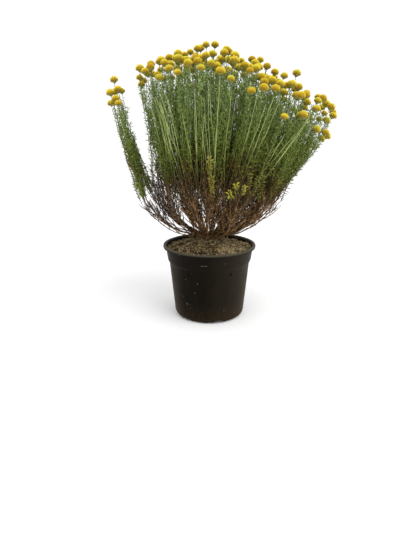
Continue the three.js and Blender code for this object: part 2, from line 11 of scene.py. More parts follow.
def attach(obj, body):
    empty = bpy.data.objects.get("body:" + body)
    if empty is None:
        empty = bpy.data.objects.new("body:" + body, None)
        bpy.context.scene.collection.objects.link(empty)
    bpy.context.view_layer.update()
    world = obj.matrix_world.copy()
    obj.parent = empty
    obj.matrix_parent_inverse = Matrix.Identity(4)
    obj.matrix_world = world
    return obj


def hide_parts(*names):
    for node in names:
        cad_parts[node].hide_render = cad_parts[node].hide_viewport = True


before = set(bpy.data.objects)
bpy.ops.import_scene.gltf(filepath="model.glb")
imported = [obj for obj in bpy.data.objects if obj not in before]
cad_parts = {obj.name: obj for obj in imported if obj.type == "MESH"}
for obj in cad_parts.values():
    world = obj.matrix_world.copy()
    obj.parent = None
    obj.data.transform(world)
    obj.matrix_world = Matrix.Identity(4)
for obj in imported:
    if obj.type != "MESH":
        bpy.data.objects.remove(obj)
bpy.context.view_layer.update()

# Camera
# It stands about a metre in front of the plant, a little above the middle of its height, and looks
# down at the pot.
bpy.ops.object.camera_add(
    location=(-0.0071, -0.9688, 0.4247), rotation=(math.radians(71.22), 0, 0)
)
camera = bpy.context.object
camera.data.lens = 26.64
camera.data.sensor_width = 36
bpy.context.scene.camera = camera

# Pot
# A thin black nursery pot, moulded in one piece from polypropylene: a rolled lip, a wider collar
# with a step below it, a plain tapered wall with six small slots, and a rounded foot with four
# arches.
MM = 0.001
POT_SIDES = 120
BASE_RADIUS = 74
# The wall's radius and height, from the foot up to the lip outside, and down again inside
OUTSIDE = [
    (78.5, 0.7), (82.6, 2.8), (85.6, 6.6), (87, 13), (92.6, 74), (98.0, 133.2), (98.9, 135.3),
    (101.2, 140.0), (102.1, 143), (105.9, 169.4), (106.8, 170.6), (110.9, 170.5), (112.1, 171.4),
    (112.5, 173.2), (112.4, 175.6), (111.6, 177.4), (110, 178), (108, 177.9), (106.2, 177.1),
]
INSIDE = [
    (104.9, 174.6), (104.2, 169.5), (100.3, 143), (99.4, 140.3), (97.1, 135.6), (96.2, 133),
    (85.3, 15), (83.6, 8.6), (80.4, 4.4), (74.5, 2),
]
LOWER_WALL = OUTSIDE[:5]
# Each arch is cut by a rod that lies on a radius of the pot, and roofed by a thicker one
ARCH_ANGLES = [-75, 15, 105, 195]
ARCH_RADIUS = 21
ARCH_AXIS = -12
ARCH_SIDES = 48
ARCH_SPAN = (68, 96)
ROOF_SPAN = (66.2, 93)
ROOF_WALL = 1.8
SLOTS = 6
SLOT_REACH = 96.4
SLOT_HEIGHT = 125
SLOT_SIZE = (8, 4.5, 6.5)
DRAIN_REACH = 52
DRAIN_RADIUS = 5
DRAIN_DEPTH = 20
SMOOTH_BELOW = 32


def select_only(piece):
    bpy.ops.object.select_all(action="DESELECT")
    piece.select_set(True)
    bpy.context.view_layer.objects.active = piece


def edit_all():
    """Opens the active piece to be edited, with all of it selected."""
    bpy.ops.object.mode_set(mode="EDIT")
    bpy.ops.mesh.select_all(action="SELECT")


def settle():
    """Puts the place, turn and size of what was just added into its mesh."""
    bpy.ops.object.transform_apply(location=True, rotation=True, scale=True)
    return bpy.context.object


def draw_rings(radius, height, steps, count):
    """Draws a round wall up from a disc, ring by ring, through radii and heights, and closes it."""
    bpy.ops.object.select_all(action="DESELECT")
    bpy.ops.mesh.primitive_circle_add(
        vertices=count, radius=radius * MM, fill_type="NGON", location=(0, 0, height * MM)
    )
    piece = settle()
    edit_all()
    bpy.ops.mesh.select_mode(type="EDGE")
    bpy.ops.mesh.region_to_loop()
    for next_radius, next_height in steps:
        bpy.ops.mesh.extrude_edges_move(
            TRANSFORM_OT_translate={"value": (0, 0, (next_height - height) * MM)}
        )
        ratio = next_radius / radius
        bpy.ops.transform.resize(value=(ratio, ratio, 1), center_override=(0, 0, 0))
        radius, height = next_radius, next_height
    bpy.ops.mesh.edge_face_add()
    bpy.ops.mesh.select_all(action="SELECT")
    bpy.ops.mesh.normals_make_consistent(inside=False)
    bpy.ops.object.mode_set(mode="OBJECT")
    return piece


def join_pieces(pieces):
    select_only(pieces[0])
    for piece in pieces:
        piece.select_set(True)
    bpy.ops.object.join()
    return bpy.context.object


def on_circle(reach, angle, height):
    """A place by its reach from the pot's axis, its angle and its height."""
    way = math.radians(angle)
    return reach * MM * math.cos(way), reach * MM * math.sin(way), height * MM


def lay_rods(radius, span):
    """Rods that lie along radii of the pot, one at each arch."""
    rods = []
    for angle in ARCH_ANGLES:
        bpy.ops.mesh.primitive_cylinder_add(
            vertices=ARCH_SIDES,
            radius=radius * MM,
            depth=(span[1] - span[0]) * MM,
            location=on_circle((span[0] + span[1]) / 2, angle, ARCH_AXIS),
            rotation=(0, math.pi / 2, math.radians(angle)),
        )
        bpy.ops.object.transform_apply(location=True, rotation=True, scale=False)
        rods.append(bpy.context.object)
    return join_pieces(rods)


def carve(piece, tool, operation):
    change = piece.modifiers.new("carve", "BOOLEAN")
    change.operation = operation
    change.object = tool
    change.solver = "EXACT"
    select_only(piece)
    bpy.ops.object.modifier_apply(modifier=change.name)


def remove(*pieces):
    for piece in pieces:
        bpy.data.objects.remove(piece, do_unlink=True)


pot = draw_rings(BASE_RADIUS, 0, OUTSIDE + INSIDE, POT_SIDES)
shell = draw_rings(BASE_RADIUS, 0, LOWER_WALL, POT_SIDES)
roofs = lay_rods(ARCH_RADIUS + ROOF_WALL, ROOF_SPAN)
carve(roofs, shell, "INTERSECT")
carve(pot, roofs, "UNION")
arches = lay_rods(ARCH_RADIUS, ARCH_SPAN)
carve(pot, arches, "DIFFERENCE")
openings = []
for i in range(SLOTS):
    angle = 360 / SLOTS * i
    bpy.ops.mesh.primitive_cube_add(
        size=1,
        location=on_circle(SLOT_REACH, angle, SLOT_HEIGHT),
        rotation=(0, 0, math.radians(angle)),
        scale=[side * MM for side in SLOT_SIZE],
    )
    openings.append(settle())
for angle in ARCH_ANGLES:
    bpy.ops.mesh.primitive_cylinder_add(
        vertices=24,
        radius=DRAIN_RADIUS * MM,
        depth=DRAIN_DEPTH * MM,
        location=on_circle(DRAIN_REACH, angle + 45, 0),
    )
    openings.append(settle())
holes = join_pieces(openings)
carve(pot, holes, "DIFFERENCE")
remove(shell, roofs, arches, holes)
select_only(pot)
bpy.ops.object.shade_smooth_by_angle(angle=math.radians(SMOOTH_BELOW))
pot.name = "nursery_pot"


def shade(red, green, blue):
    """A screen colour, 0 to 255, as the linear colour that a shader takes."""

    def linear(value):
        value /= 255
        return value / 12.92 if value < 0.04045 else ((value + 0.055) / 1.055) ** 2.4

    return (linear(red), linear(green), linear(blue), 1)


def new_material(name):
    material = bpy.data.materials.new(name)
    material.use_nodes = True
    return material, material.node_tree, material.node_tree.nodes["Principled BSDF"]


def add(tree, kind, values=(), **settings):
    """Adds a node, sets its options, and gives each input in values a constant or a link."""
    made = tree.nodes.new(kind)
    for key, value in settings.items():
        setattr(made, key, value)
    for key, value in dict(values).items():
        if isinstance(value, bpy.types.NodeSocket):
            tree.links.new(value, made.inputs[key])
        else:
            made.inputs[key].default_value = value
    return made


def own_place(tree):
    """Where each point of the piece is, in metres."""
    return add(tree, "ShaderNodeTexCoord").outputs["Object"]


def add_beside(kind, values, **settings):
    """Adds a node to the tree of the links in values."""
    links = [value for value in values.values() if isinstance(value, bpy.types.NodeSocket)]
    return add(links[0].id_data, kind, values, **settings)


def axes(place):
    return add_beside("ShaderNodeSeparateXYZ", {0: place}).outputs


def blend(factor, first, second, mode="MIX"):
    """A colour between two, by a factor."""
    values = {0: factor, 6: first, 7: second}
    return add_beside("ShaderNodeMix", values, data_type="RGBA", blend_type=mode).outputs[2]


def between(value, low, high, to_low=0.0, to_high=1.0):
    """A value's place between low and high, kept inside those ends."""
    ends = {"From Min": low, "From Max": high, "To Min": to_low, "To Max": to_high}
    return add_beside("ShaderNodeMapRange", {"Value": value, **ends}).outputs["Result"]


def work_out(operation, first, second, **settings):
    values = {0: first, 1: second}
    return add_beside("ShaderNodeMath", values, operation=operation, **settings).outputs[0]


def times(first, second):
    return work_out("MULTIPLY", first, second)


def mottle_group():
    """Uneven colour from coarse and fine spots, with their relief."""
    tree = bpy.data.node_groups.new("mottle", "ShaderNodeTree")
    kinds = {"Place": "Vector", "Scale": "Float", "Dark": "Color", "Light": "Color"}
    for name, kind in {**kinds, "Contrast": "Float"}.items():
        tree.interface.new_socket(name, in_out="INPUT", socket_type="NodeSocket" + kind)
    for name, kind in {"Color": "Color", "Relief": "Float"}.items():
        tree.interface.new_socket(name, in_out="OUTPUT", socket_type="NodeSocket" + kind)
    given = tree.nodes.new("NodeGroupInput").outputs
    taken = tree.nodes.new("NodeGroupOutput").inputs
    values = {"Vector": given["Place"], "Scale": given["Scale"], "Detail": 5.0, "Roughness": 0.62}
    spots = add(tree, "ShaderNodeTexNoise", values).outputs["Fac"]
    spread = times(work_out("SUBTRACT", spots, 0.5), given["Contrast"])
    factor = work_out("ADD", spread, 0.5, use_clamp=True)
    tree.links.new(blend(factor, given["Dark"], given["Light"]), taken["Color"])
    tree.links.new(spots, taken["Relief"])
    return tree


mottle = mottle_group()


def mottled(place, scale, dark, light, contrast):
    """The Color and Relief of uneven spots of this scale, these two colours and this contrast."""
    values = {"Place": place, "Scale": scale, "Dark": dark, "Light": light, "Contrast": contrast}
    return add(place.id_data, "ShaderNodeGroup", values, node_tree=mottle).outputs


def link(output, surface, name):
    output.id_data.links.new(output, surface.inputs[name])


def roughen(surface, relief, strength, depth):
    """Raises a surface by a relief, this many metres deep."""
    values = {"Height": relief, "Strength": strength, "Distance": depth}
    link(add_beside("ShaderNodeBump", values).outputs["Normal"], surface, "Normal")


# Pale scuffs on the front of the collar and wall: where, and how far they reach, in metres
SCUFFS = [
    ((-0.013, -0.102, 0.1505), (0.009, 0.02, 0.0011)),
    ((0.034, -0.098, 0.154), (0.0016, 0.02, 0.002)),
    ((-0.028, -0.092, 0.104), (0.001, 0.02, 0.003)),
    ((-0.034, -0.088, 0.08), (0.001, 0.02, 0.0016)),
    ((-0.053, -0.074, 0.048), (0.0018, 0.02, 0.003)),
    ((0.034, -0.082, 0.034), (0.003, 0.02, 0.0013)),
]


def spot(place, centre, reach):
    """One at a centre, falling to none at its reach each way."""
    kind = "ShaderNodeVectorMath"
    away = add_beside(kind, {0: place, 1: centre}, operation="SUBTRACT").outputs[0]
    scaled = add_beside(kind, {0: away, 1: reach}, operation="DIVIDE").outputs[0]
    length = add_beside(kind, {0: scaled}, operation="LENGTH").outputs["Value"]
    return between(length, 1.0, 0.5)


def plastic_material():
    """Black plastic, with a painted sheen flecked like dust where it is seen at a slant, a painted
    sheen on its right side, a painted highlight on its lip, soil on its foot, and pale specks and
    scuffs."""
    material, tree, surface = new_material("black_plastic")
    place = own_place(tree)
    across, height = axes(place)["X"], axes(place)["Z"]
    body = mottled(place, 34.0, shade(10, 8, 4), shade(22, 17, 11), 2.2)
    dust = mottled(place, 260.0, (0, 0, 0, 1), (1, 1, 1, 1), 5.0)
    # Painted sheen: the sides turn brown where they are seen at a slant, in flecks of the dust
    # pattern, less on the collar.
    grazing = add(tree, "ShaderNodeLayerWeight", {"Blend": 0.5}).outputs["Facing"]
    slant_sheen_and_dust = times(between(grazing, 0.4, 0.95, 0.0, 0.7), dust["Relief"])
    slant_sheen_and_dust = times(slant_sheen_and_dust, between(height, 0.158, 0.13, 0.25, 1.0))
    sides = blend(slant_sheen_and_dust, body["Color"], shade(84, 66, 40))
    # Painted sheen: the right side is made lighter and greyer-brown, as if the light fell on it
    # from the right.
    right = between(across, -0.01, 0.06, 0.0, 0.3)
    right_side_sheen = blend(right, sides, shade(62, 55, 42))
    # Painted highlight: a light grey band along the top of the lip.
    lip = between(height, 0.1728, 0.1772)
    lip_highlight = blend(times(lip, 0.6), right_side_sheen, shade(98, 94, 80))
    foot = times(between(height, 0.05, 0.0, 0.0, 0.55), dust["Color"])
    colour = blend(foot, lip_highlight, shade(66, 50, 30))
    cells = {"Vector": place, "Scale": 95.0, "Randomness": 1.0}
    specks = add(tree, "ShaderNodeTexVoronoi", cells).outputs["Distance"]
    specks = times(between(specks, 0.12, 0.05), 0.55)
    rare = add(tree, "ShaderNodeTexNoise", {"Vector": place, "Scale": 21.0, "Detail": 1.0})
    specks = times(specks, between(rare.outputs["Fac"], 0.58, 0.66))
    colour = blend(specks, colour, shade(150, 136, 110))
    for centre, reach in SCUFFS:
        scuff = times(spot(place, centre, reach), dust["Color"])
        colour = blend(scuff, colour, shade(122, 118, 104))
    gloss = between(body["Relief"], 0.3, 0.7, 0.4, 0.58)
    link(colour, surface, "Base Color")
    link(gloss, surface, "Roughness")
    surface.inputs["Specular IOR Level"].default_value = 0.04
    roughen(surface, dust["Relief"], 0.12, 0.0006)
    return material


def finish_piece(piece, nodes, material):
    """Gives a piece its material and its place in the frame."""
    piece.data.materials.clear()
    piece.data.materials.append(material)
    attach(piece, "root")
    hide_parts(*nodes)


finish_piece(pot, ["pot"], plastic_material())

# Soil
# Potting soil to just below the lip, grown over with a mat of straw-coloured litter and dead moss,
# a little higher round the plant. It fills the pot and lies loose.
SOIL_FOOT = (84.4, 12.5)
SOIL_WALL = [(95.8, 134.5), (99.3, 141)]
SOIL_EDGE = 167.5
SOIL_REACH = 103.3
SOIL_RINGS = 62
SOIL_SIDES = 216
MOUND_HEIGHT = 22
MOUND_REACH = 94
SWELL_HEIGHT = 3
LITTER_REACH = 100
FIBRES = 3000
FIBRE_SHORTEST = 2.4
FIBRE_RANGE = 5
STRAW_LENGTH = 22
STRAW_SHARE = 0.04
FIBRE_LIFT = 0.6
CRUMBS = 420
# Dark bare patches: their middle and how far they reach
PATCHES = [
    ((-22, -72), (29, 14)),
    ((14, -80), (21, 11)),
    ((-66, 14), (26, 24)),
    ((-84, -30), (12, 18)),
    ((34, 30), (16, 12)),
    ((6, -46), (14, 8)),
]


def soil_surface(x, y):
    """The soil's height: its mound and swells, and the lumps and crumbs on them."""
    out = math.hypot(x, y) / MOUND_REACH
    swells = math.sin(x * 0.21 + 1.3 * math.cos(y * 0.17)) + math.sin(y * 0.26 - x * 0.09 + 2)
    height = SOIL_EDGE + MOUND_HEIGHT * max(0, 1 - out * out) ** 2 + SWELL_HEIGHT * swells / 2
    lumps = noise.noise((x * 0.07, y * 0.07, 3)) * 2.2
    crumbs = noise.noise((x * 0.24, y * 0.24, 9)) * 1.5 + noise.noise((x * 0.6, y * 0.6, 5)) * 0.9
    return height + lumps + crumbs


def bareness(x, y):
    """One in the middle of a bare patch, none outside all of them."""
    away = min(math.hypot((x - a) / wide, (y - b) / deep) for (a, b), (wide, deep) in PATCHES)
    ragged = away + 0.5 * noise.noise((x * 0.11, y * 0.11, 7))
    return min(max(1.6 - 1.4 * ragged, 0), 1)


def tag_points(piece, name, values):
    """Gives each point of a piece a named value."""
    layer = piece.data.attributes.new(name, "FLOAT", "POINT")
    layer.data.foreach_set("value", np.asarray(values, np.float32))


top_rings = [(SOIL_REACH * (1 - k / SOIL_RINGS), SOIL_EDGE) for k in range(SOIL_RINGS)]
soil = draw_rings(*SOIL_FOOT, SOIL_WALL + top_rings, SOIL_SIDES)
for vertex in soil.data.vertices:
    x, y, z = vertex.co / MM
    if z > SOIL_EDGE - 1:
        vertex.co.z = soil_surface(x, y) * MM
dark = [bareness(vertex.co.x / MM, vertex.co.y / MM) for vertex in soil.data.vertices]
tag_points(soil, "bare", dark)
select_only(soil)
bpy.ops.object.shade_smooth()

rng = np.random.default_rng(4)


def model_of(piece):
    """Takes a modelled piece away and returns its points, in millimetres, and its triangles."""
    select_only(piece)
    edit_all()
    bpy.ops.mesh.quads_convert_to_tris()
    bpy.ops.object.mode_set(mode="OBJECT")
    points = np.array([vertex.co for vertex in piece.data.vertices]) / MM
    triangles = np.array([list(face.vertices) for face in piece.data.polygons])
    remove(piece)
    return points, triangles


def unit(ways):
    return ways / np.linalg.norm(ways, axis=-1, keepdims=True)


def copy_model(model, places, ways, sides, sizes):
    """Copies of a model at places and sizes, each with its Z along the way and X to the side."""
    points, triangles = model
    ways = unit(ways)
    sides = unit(sides - ways * (sides * ways).sum(-1, keepdims=True))
    frames = np.stack([sides, np.cross(ways, sides), ways], axis=1)
    sized = points[None] * np.asarray(sizes)[:, None, :]
    moved = places[:, None] + np.einsum("npk,nkj->npj", sized, frames)
    steps = np.arange(len(places))[:, None, None] * len(points)
    return moved.reshape(-1, 3), (triangles[None] + steps).reshape(-1, 3)


def make_mesh(name, points, triangles, values):
    """A piece from points in millimetres, triangles, and named values for each point."""
    mesh = bpy.data.meshes.new(name)
    mesh.vertices.add(len(points))
    mesh.vertices.foreach_set("co", (points * MM).ravel())
    mesh.loops.add(triangles.size)
    mesh.loops.foreach_set("vertex_index", triangles.ravel().astype(np.int32))
    mesh.polygons.add(len(triangles))
    mesh.polygons.foreach_set("loop_start", np.arange(0, triangles.size, 3, dtype=np.int32))
    mesh.update(calc_edges=True)
    piece = bpy.data.objects.new(name, mesh)
    bpy.context.collection.objects.link(piece)
    for key, numbers in values.items():
        tag_points(piece, key, numbers)
    return piece


def fibre_model():
    """A bent three-sided fibre, one millimetre long."""
    bpy.ops.mesh.primitive_cylinder_add(vertices=3, radius=0.5 * MM, depth=MM)
    edit_all()
    bpy.ops.mesh.bisect(plane_co=(0, 0, 0), plane_no=(0, 0, 1))
    bpy.ops.transform.translate(value=(0.35 * MM, 0, 0))
    bpy.ops.object.mode_set(mode="OBJECT")
    return model_of(bpy.context.object)


def crumb_model():
    """A lopsided crumb of radius 1 mm."""
    bpy.ops.mesh.primitive_ico_sphere_add(subdivisions=1, radius=MM)
    piece = bpy.context.object
    for i, vertex in enumerate(piece.data.vertices):
        vertex.co *= 1 + 0.3 * math.sin(i * 2.4)
    return model_of(piece)


def on_soil(count):
    """Places spread over the soil's surface."""
    out = LITTER_REACH * np.sqrt(rng.random(count))
    angle = rng.random(count) * 2 * math.pi
    x, y = out * np.cos(angle), out * np.sin(angle)
    z = np.array([soil_surface(*pair) for pair in zip(x, y)])
    return np.stack([x, y, z], axis=1)


places = on_soil(FIBRES)
bare = rng.random(FIBRES) < np.array([0.9 * bareness(x, y) for x, y, _ in places])
places = places[~bare]
count = len(places)
angle = rng.random(count) * 2 * math.pi
ways = np.stack([np.cos(angle), np.sin(angle), rng.normal(0, 0.16, count)], axis=1)
lengths = FIBRE_SHORTEST * FIBRE_RANGE ** (rng.random(count) ** 1.3)
lengths = np.where(rng.random(count) < STRAW_SHARE, STRAW_LENGTH, lengths)
sizes = np.stack([rng.uniform(0.6, 1.4, count) * (1 + 2 / lengths)] * 2 + [lengths], axis=1)
places[:, 2] += FIBRE_LIFT
fibres = copy_model(fibre_model(), places, ways, np.tile([0.0, 0.3, 1.0], (count, 1)), sizes)
fibre_tint = np.repeat(rng.random(count), len(fibres[0]) // count)
places = on_soil(CRUMBS)
ways = rng.normal(size=(CRUMBS, 3))
sizes = rng.uniform(0.7, 2.3, (CRUMBS, 1)) * rng.uniform(0.7, 1.2, (CRUMBS, 3))
crumbs = copy_model(crumb_model(), places, ways, rng.normal(size=(CRUMBS, 3)), sizes)
crumb_tint = np.repeat(rng.random(CRUMBS) * 0.6, len(crumbs[0]) // CRUMBS)
litter = make_mesh(
    "litter",
    np.concatenate([fibres[0], crumbs[0]]),
    np.concatenate([fibres[1], crumbs[1] + len(fibres[0])]),
    {"tint": np.concatenate([fibre_tint, crumb_tint])},
)


def tag(tree, name):
    """The value that each point was given under a name."""
    return add(tree, "ShaderNodeAttribute", attribute_name=name).outputs["Fac"]


def coat(surface, colour, roughness, shine):
    """Gives a surface its colour, how rough it is and how much it shines."""
    link(colour, surface, "Base Color")
    surface.inputs["Roughness"].default_value = roughness
    surface.inputs["Specular IOR Level"].default_value = shine


def soil_material():
    """Brown crumbs under a straw-coloured mat, paler on the right as painted light, dark where it
    is bare, with painted shade on its sides below the surface.
    """
    material, tree, surface = new_material("soil_crumb")
    place = own_place(tree)
    across, height = axes(place)["X"], axes(place)["Z"]
    ground = mottled(place, 190.0, shade(42, 31, 17), shade(196, 172, 124), 5.5)
    patch = mottled(place, 28.0, shade(120, 112, 96), shade(255, 250, 225), 3.0)
    matted = blend(1.0, ground["Color"], patch["Color"], "MULTIPLY")
    matted = blend(times(tag(tree, "bare"), 0.85), matted, shade(44, 32, 20))
    # Partly painted light: pale straw colour in patches, kept to the right side, where the light
    # falls.
    straw = times(between(across, 0.01, 0.07), ground["Relief"])
    matted = blend(straw, matted, shade(236, 212, 164))
    # Painted shade: below its surface, where it shows through the pot's slots, the soil is made
    # near black.
    shade_below_surface = between(height, 0.16, 0.15)
    coat(surface, blend(shade_below_surface, matted, shade(24, 17, 11)), 0.95, 0.1)
    roughen(surface, ground["Relief"], 0.7, 0.002)
    return material


def litter_material():
    """Straw and moss, some of it dark with age."""
    material, tree, surface = new_material("straw_litter")
    straw = mottled(own_place(tree), 210.0, shade(92, 74, 44), shade(240, 220, 174), 5.0)
    aged = between(tag(tree, "tint"), 0.75, 0.2)
    coat(surface, blend(aged, straw["Color"], shade(70, 56, 34)), 0.85, 0.2)
    return material


soil.name = "potting_soil"
finish_piece(soil, ["soil"], soil_material())
finish_piece(litter, ["soil"], litter_material())

# Woody base
# The plant's old wood: a short crown in the soil, boughs that fork into twigs, and a bowl of fine
# dry twigs on them, brown to weathered grey, with withered leaves higher up.
CROWN_FOOT = (12, 146.5)
CROWN_RINGS = [(14.2, 166), (14.6, 192), (12.8, 196), (10.5, 200), (7, 203.5), (3, 205)]
BOUGHS = 13
BOUGH_SPRAYS = 3
BOUGH_START = (5, 197)
BOUGH_BEND = (0.82, 0.12)
# The ovals that the sprays' feet and heads stand in, their height in the middle, and how far they
# fall away from there
FEET = {"centre": 29, "across": 137, "deep": 120, "height": 322, "drop": 28, "tilt": 12}
FOOT_PITCH = 38
HEADS = {"centre": 61, "across": 212, "deep": 142, "height": 588, "span": 256}
HEADS_DROP = (105, 48)
HEAD_PITCH = 22.5
MAIN_STEMS = 5
ODD_HEADS = [
    (-8, -20, 604), (11, 0, 608), (-20, 10, 603), (105, -20, 576), (118, -34, 562),
    (137, -20, 553), (92, 20, 583), (183, -20, 551), (143, -128, 461),
]
# The bunches that stand apart, left and right: each spray's foot and its heads
APART = [
    [
        ((-158, -20, 296), [(-192, -44, 491), (-200, -30, 501), (-207, -22, 494)]),
        ((-151, 0, 292), [(-207, 0, 541), (-197, -12, 521), (-214, -14, 514)]),
        ((-158, 20, 296), [(-195, 16, 520), (-211, 18, 518), (-220, 14, 495)]),
    ],
    [
        ((130, -30, 280), [(225, -56, 439), (250, -38, 432), (254, -22, 458), (256, -40, 484)]),
        ((128, 34, 280), [(275, 38, 426), (257, 18, 420), (252, 34, 463), (268, 54, 476)]),
    ],
]
BARE_BOUGH = [(-134, -30, 312), (-124, -6, 326), (-132, 18, 316)]
GOLDEN_ANGLE = math.radians(137.508)
UP = np.array([0.0, 0.0, 1.0])


def draw(item, use):
    """A seeded draw from 0 to 1. Each use has a number, and so has each item: the same two always
    give the same value."""
    wave = math.sin(item * 12.9898 + use * 78.233) * 43758.5453
    return wave - math.floor(wave)


def play(item, use, size):
    return (2 * draw(item, use) - 1) * size


def space_out(points, oval, pitch):
    """Moves points on a disc apart until each has its pitch on the oval."""
    scale = np.array([oval["across"], oval["deep"]])
    for _ in range(80):
        apart = (points[:, None] - points[None]) * scale
        distance = np.hypot(apart[..., 0], apart[..., 1])
        near = (distance < pitch) & (distance > 0)
        push = np.where(near, (pitch - distance) * 0.4 / np.where(near, distance, 1), 0)
        points = points + (apart * push[..., None]).sum(1) / scale
        points = points / np.maximum(1, np.hypot(points[:, 0], points[:, 1]))[:, None]
    return points


def groups_round(points, count, reach, use):
    """A ring of points round each point."""
    groups = []
    for i, (x, y) in enumerate(points):
        turn = draw(i, use) * 2 * math.pi
        for k in range(count):
            angle = turn + k * 2 * math.pi / count
            groups.append((x + reach * math.cos(angle), y + reach * math.sin(angle)))
    return np.array(groups)


def foot_place(x, y):
    out = math.hypot(x, y)
    height = FEET["height"] - out * (FEET["drop"] * out + FEET["tilt"] * x)
    return np.array([FEET["centre"] + FEET["across"] * x, FEET["deep"] * y, height])


def head_place(x, y):
    x, y = HEADS["centre"] + HEADS["across"] * x, HEADS["deep"] * y
    fall = HEADS_DROP[0] * (abs(x) / HEADS["span"]) ** 1.7
    fall += HEADS_DROP[1] * (y / HEADS["deep"]) ** 2
    return np.array([x, y, HEADS["height"] - fall])


def plan_boughs():
    """Every bough as a list of sprays, each with its foot, its heads, and which heads stay put."""
    outs = [0.86 * math.sqrt((i + 0.5) / BOUGHS) for i in range(BOUGHS)]
    centres = [
        (out * math.cos(i * GOLDEN_ANGLE), out * math.sin(i * GOLDEN_ANGLE))
        for i, out in enumerate(outs)
    ]
    feet = space_out(groups_round(centres, BOUGH_SPRAYS, 0.16, 1), FEET, FOOT_PITCH)
    heads = space_out(groups_round(feet, MAIN_STEMS, 0.09, 2), HEADS, HEAD_PITCH)
    tops = [head_place(*head) for head in heads]
    fixed = [False] * len(tops)
    for place in ODD_HEADS:
        odd = min(range(len(tops)), key=lambda k: math.dist(tops[k][:2], place[:2]))
        tops[odd], fixed[odd] = np.array(place, float), True
    sprays = []
    for j, foot in enumerate(feet):
        own = slice(MAIN_STEMS * j, MAIN_STEMS * (j + 1))
        sprays.append({"foot": foot_place(*foot), "heads": tops[own], "fixed": fixed[own]})
    boughs = [sprays[i : i + BOUGH_SPRAYS] for i in range(0, len(sprays), BOUGH_SPRAYS)]
    for bunch in APART:
        boughs.append([])
        for foot, heads in bunch:
            heads = [np.array(head, float) for head in heads]
            fixed = [True] * len(heads)
            boughs[-1].append({"foot": np.array(foot, float), "heads": heads, "fixed": fixed})
    boughs.append([{"foot": np.array(foot, float), "heads": []} for foot in BARE_BOUGH])
    return boughs


def on_curve(controls, t):
    """The place at t on the curve that some points control."""
    points = [np.asarray(point, float) for point in controls]
    t = np.asarray(t, float)[..., None]
    while len(points) > 1:
        points = [a + (b - a) * t for a, b in zip(points, points[1:])]
    return points[0]


def heading(controls, t):
    return unit(on_curve(np.diff(np.array(controls), axis=0), t))


def ring_ways(ways):
    """Two ways square to each way, the first nearest to X."""
    across = unit(np.array([1.0, 0, 0]) - ways * ways[..., :1])
    return across, np.cross(ways, across)


def outward(controls, t, angle):
    """The way out from a curve at t, at an angle round it."""
    across, third = ring_ways(heading(controls, t))
    angle = np.asarray(angle)[..., None]
    return np.cos(angle) * across + np.sin(angle) * third


def woody_line(place):
    """The line from the crown to a place: out low over the soil, then up."""
    reach, height = BOUGH_START
    flat = math.hypot(place[0], place[1]) or 1
    start = np.array([place[0] / flat * reach, place[1] / flat * reach, height])
    out, rise = BOUGH_BEND
    bend = np.array([place[0] * out, place[1] * out, height + (place[2] - height) * rise])
    return np.array([start, bend, place])


def bend_between(start, leaving, end, arriving):
    reach = np.linalg.norm(end - start) / 3
    return np.array([start, start + leaving * reach, end - arriving * reach, end])


def partings(trunk, places, reach, spread):
    """Where a trunk parts towards some places, in turn round it."""
    count = len(places)
    across, third = ring_ways(heading(trunk, 1))
    away = [place - np.mean(places, axis=0) for place in places]
    around = [math.atan2(way @ third, way @ across) for way in away]
    order = sorted(range(count), key=lambda k: around[k])
    offsets = [around[item] - k * 2 * math.pi / count for k, item in enumerate(order)]
    first = math.atan2(sum(map(math.sin, offsets)), sum(map(math.cos, offsets)))
    found = []
    for k, item in enumerate(order):
        out = outward(trunk, 1, first + k * 2 * math.pi / count)
        found.append((item, trunk[-1] + out * reach, unit(heading(trunk, 1) + out * spread)))
    return found


boughs = plan_boughs()

# The noise vectors that bend the limbs start from the clock unless they are given a seed.
LIMB_SEED = 7
noise.seed_set(LIMB_SEED)


def limb_points(controls, count, wander, seed):
    """Points along a curve that wander a little from it, except at its foot."""
    t = np.linspace(0, 1, count)
    points = on_curve(controls, t)
    drift = np.array([noise.noise_vector((k * 0.55, seed * 7.31, 2)) for k in range(count)])
    return points + drift * wander * np.minimum(1, 4 * t)[:, None]


def grow_limbs(name, limbs, roundness):
    """Round limbs, each with its points and radii in millimetres, as one mesh."""
    curve = bpy.data.curves.new(name, "CURVE")
    curve.dimensions = "3D"
    curve.bevel_depth = MM
    curve.bevel_resolution = roundness
    curve.use_fill_caps = True
    for points, radii in limbs:
        spline = curve.splines.new("POLY")
        spline.points.add(len(points) - 1)
        spline.points.foreach_set("co", np.c_[points * MM, np.ones(len(points))].ravel())
        spline.points.foreach_set("radius", radii)
    piece = bpy.data.objects.new(name, curve)
    bpy.context.collection.objects.link(piece)
    select_only(piece)
    bpy.ops.object.convert(target="MESH")
    return bpy.context.object


def knotty(count, first, last, seed):
    """Radii from first to last with the knots of old leaf scars."""
    knots = 1 + 0.22 * np.sin(np.arange(count) * 2.1 + seed) * (np.arange(count) > 0)
    return np.linspace(first, last, count) * knots


def side_twig(parent, t, n, lengths, radius, least_rise):
    """A fine twig off a limb: out at a slant, then bent up."""
    root = on_curve(parent, t)
    way = heading(parent, t)
    out = outward(parent, t, draw(n, 60) * 2 * math.pi)
    lean = math.radians(18 + 30 * draw(n, 61))
    leaving = way * math.cos(lean) + out * math.sin(lean)
    if leaving[2] < least_rise:
        leaving = unit(leaving + UP * (least_rise + 0.3 - leaving[2]))
    length = lengths[0] + (lengths[1] - lengths[0]) * draw(n, 62)
    tip = root + unit(leaving + UP * 0.3) * length
    controls = bend_between(root, leaving, tip, unit(leaving + UP * 0.8))
    count = max(4, int(length / TWIG_STEP))
    limb = limb_points(controls, count, 2.2, 200 + n), knotty(count, radius, radius * 0.55, n)
    return controls, limb


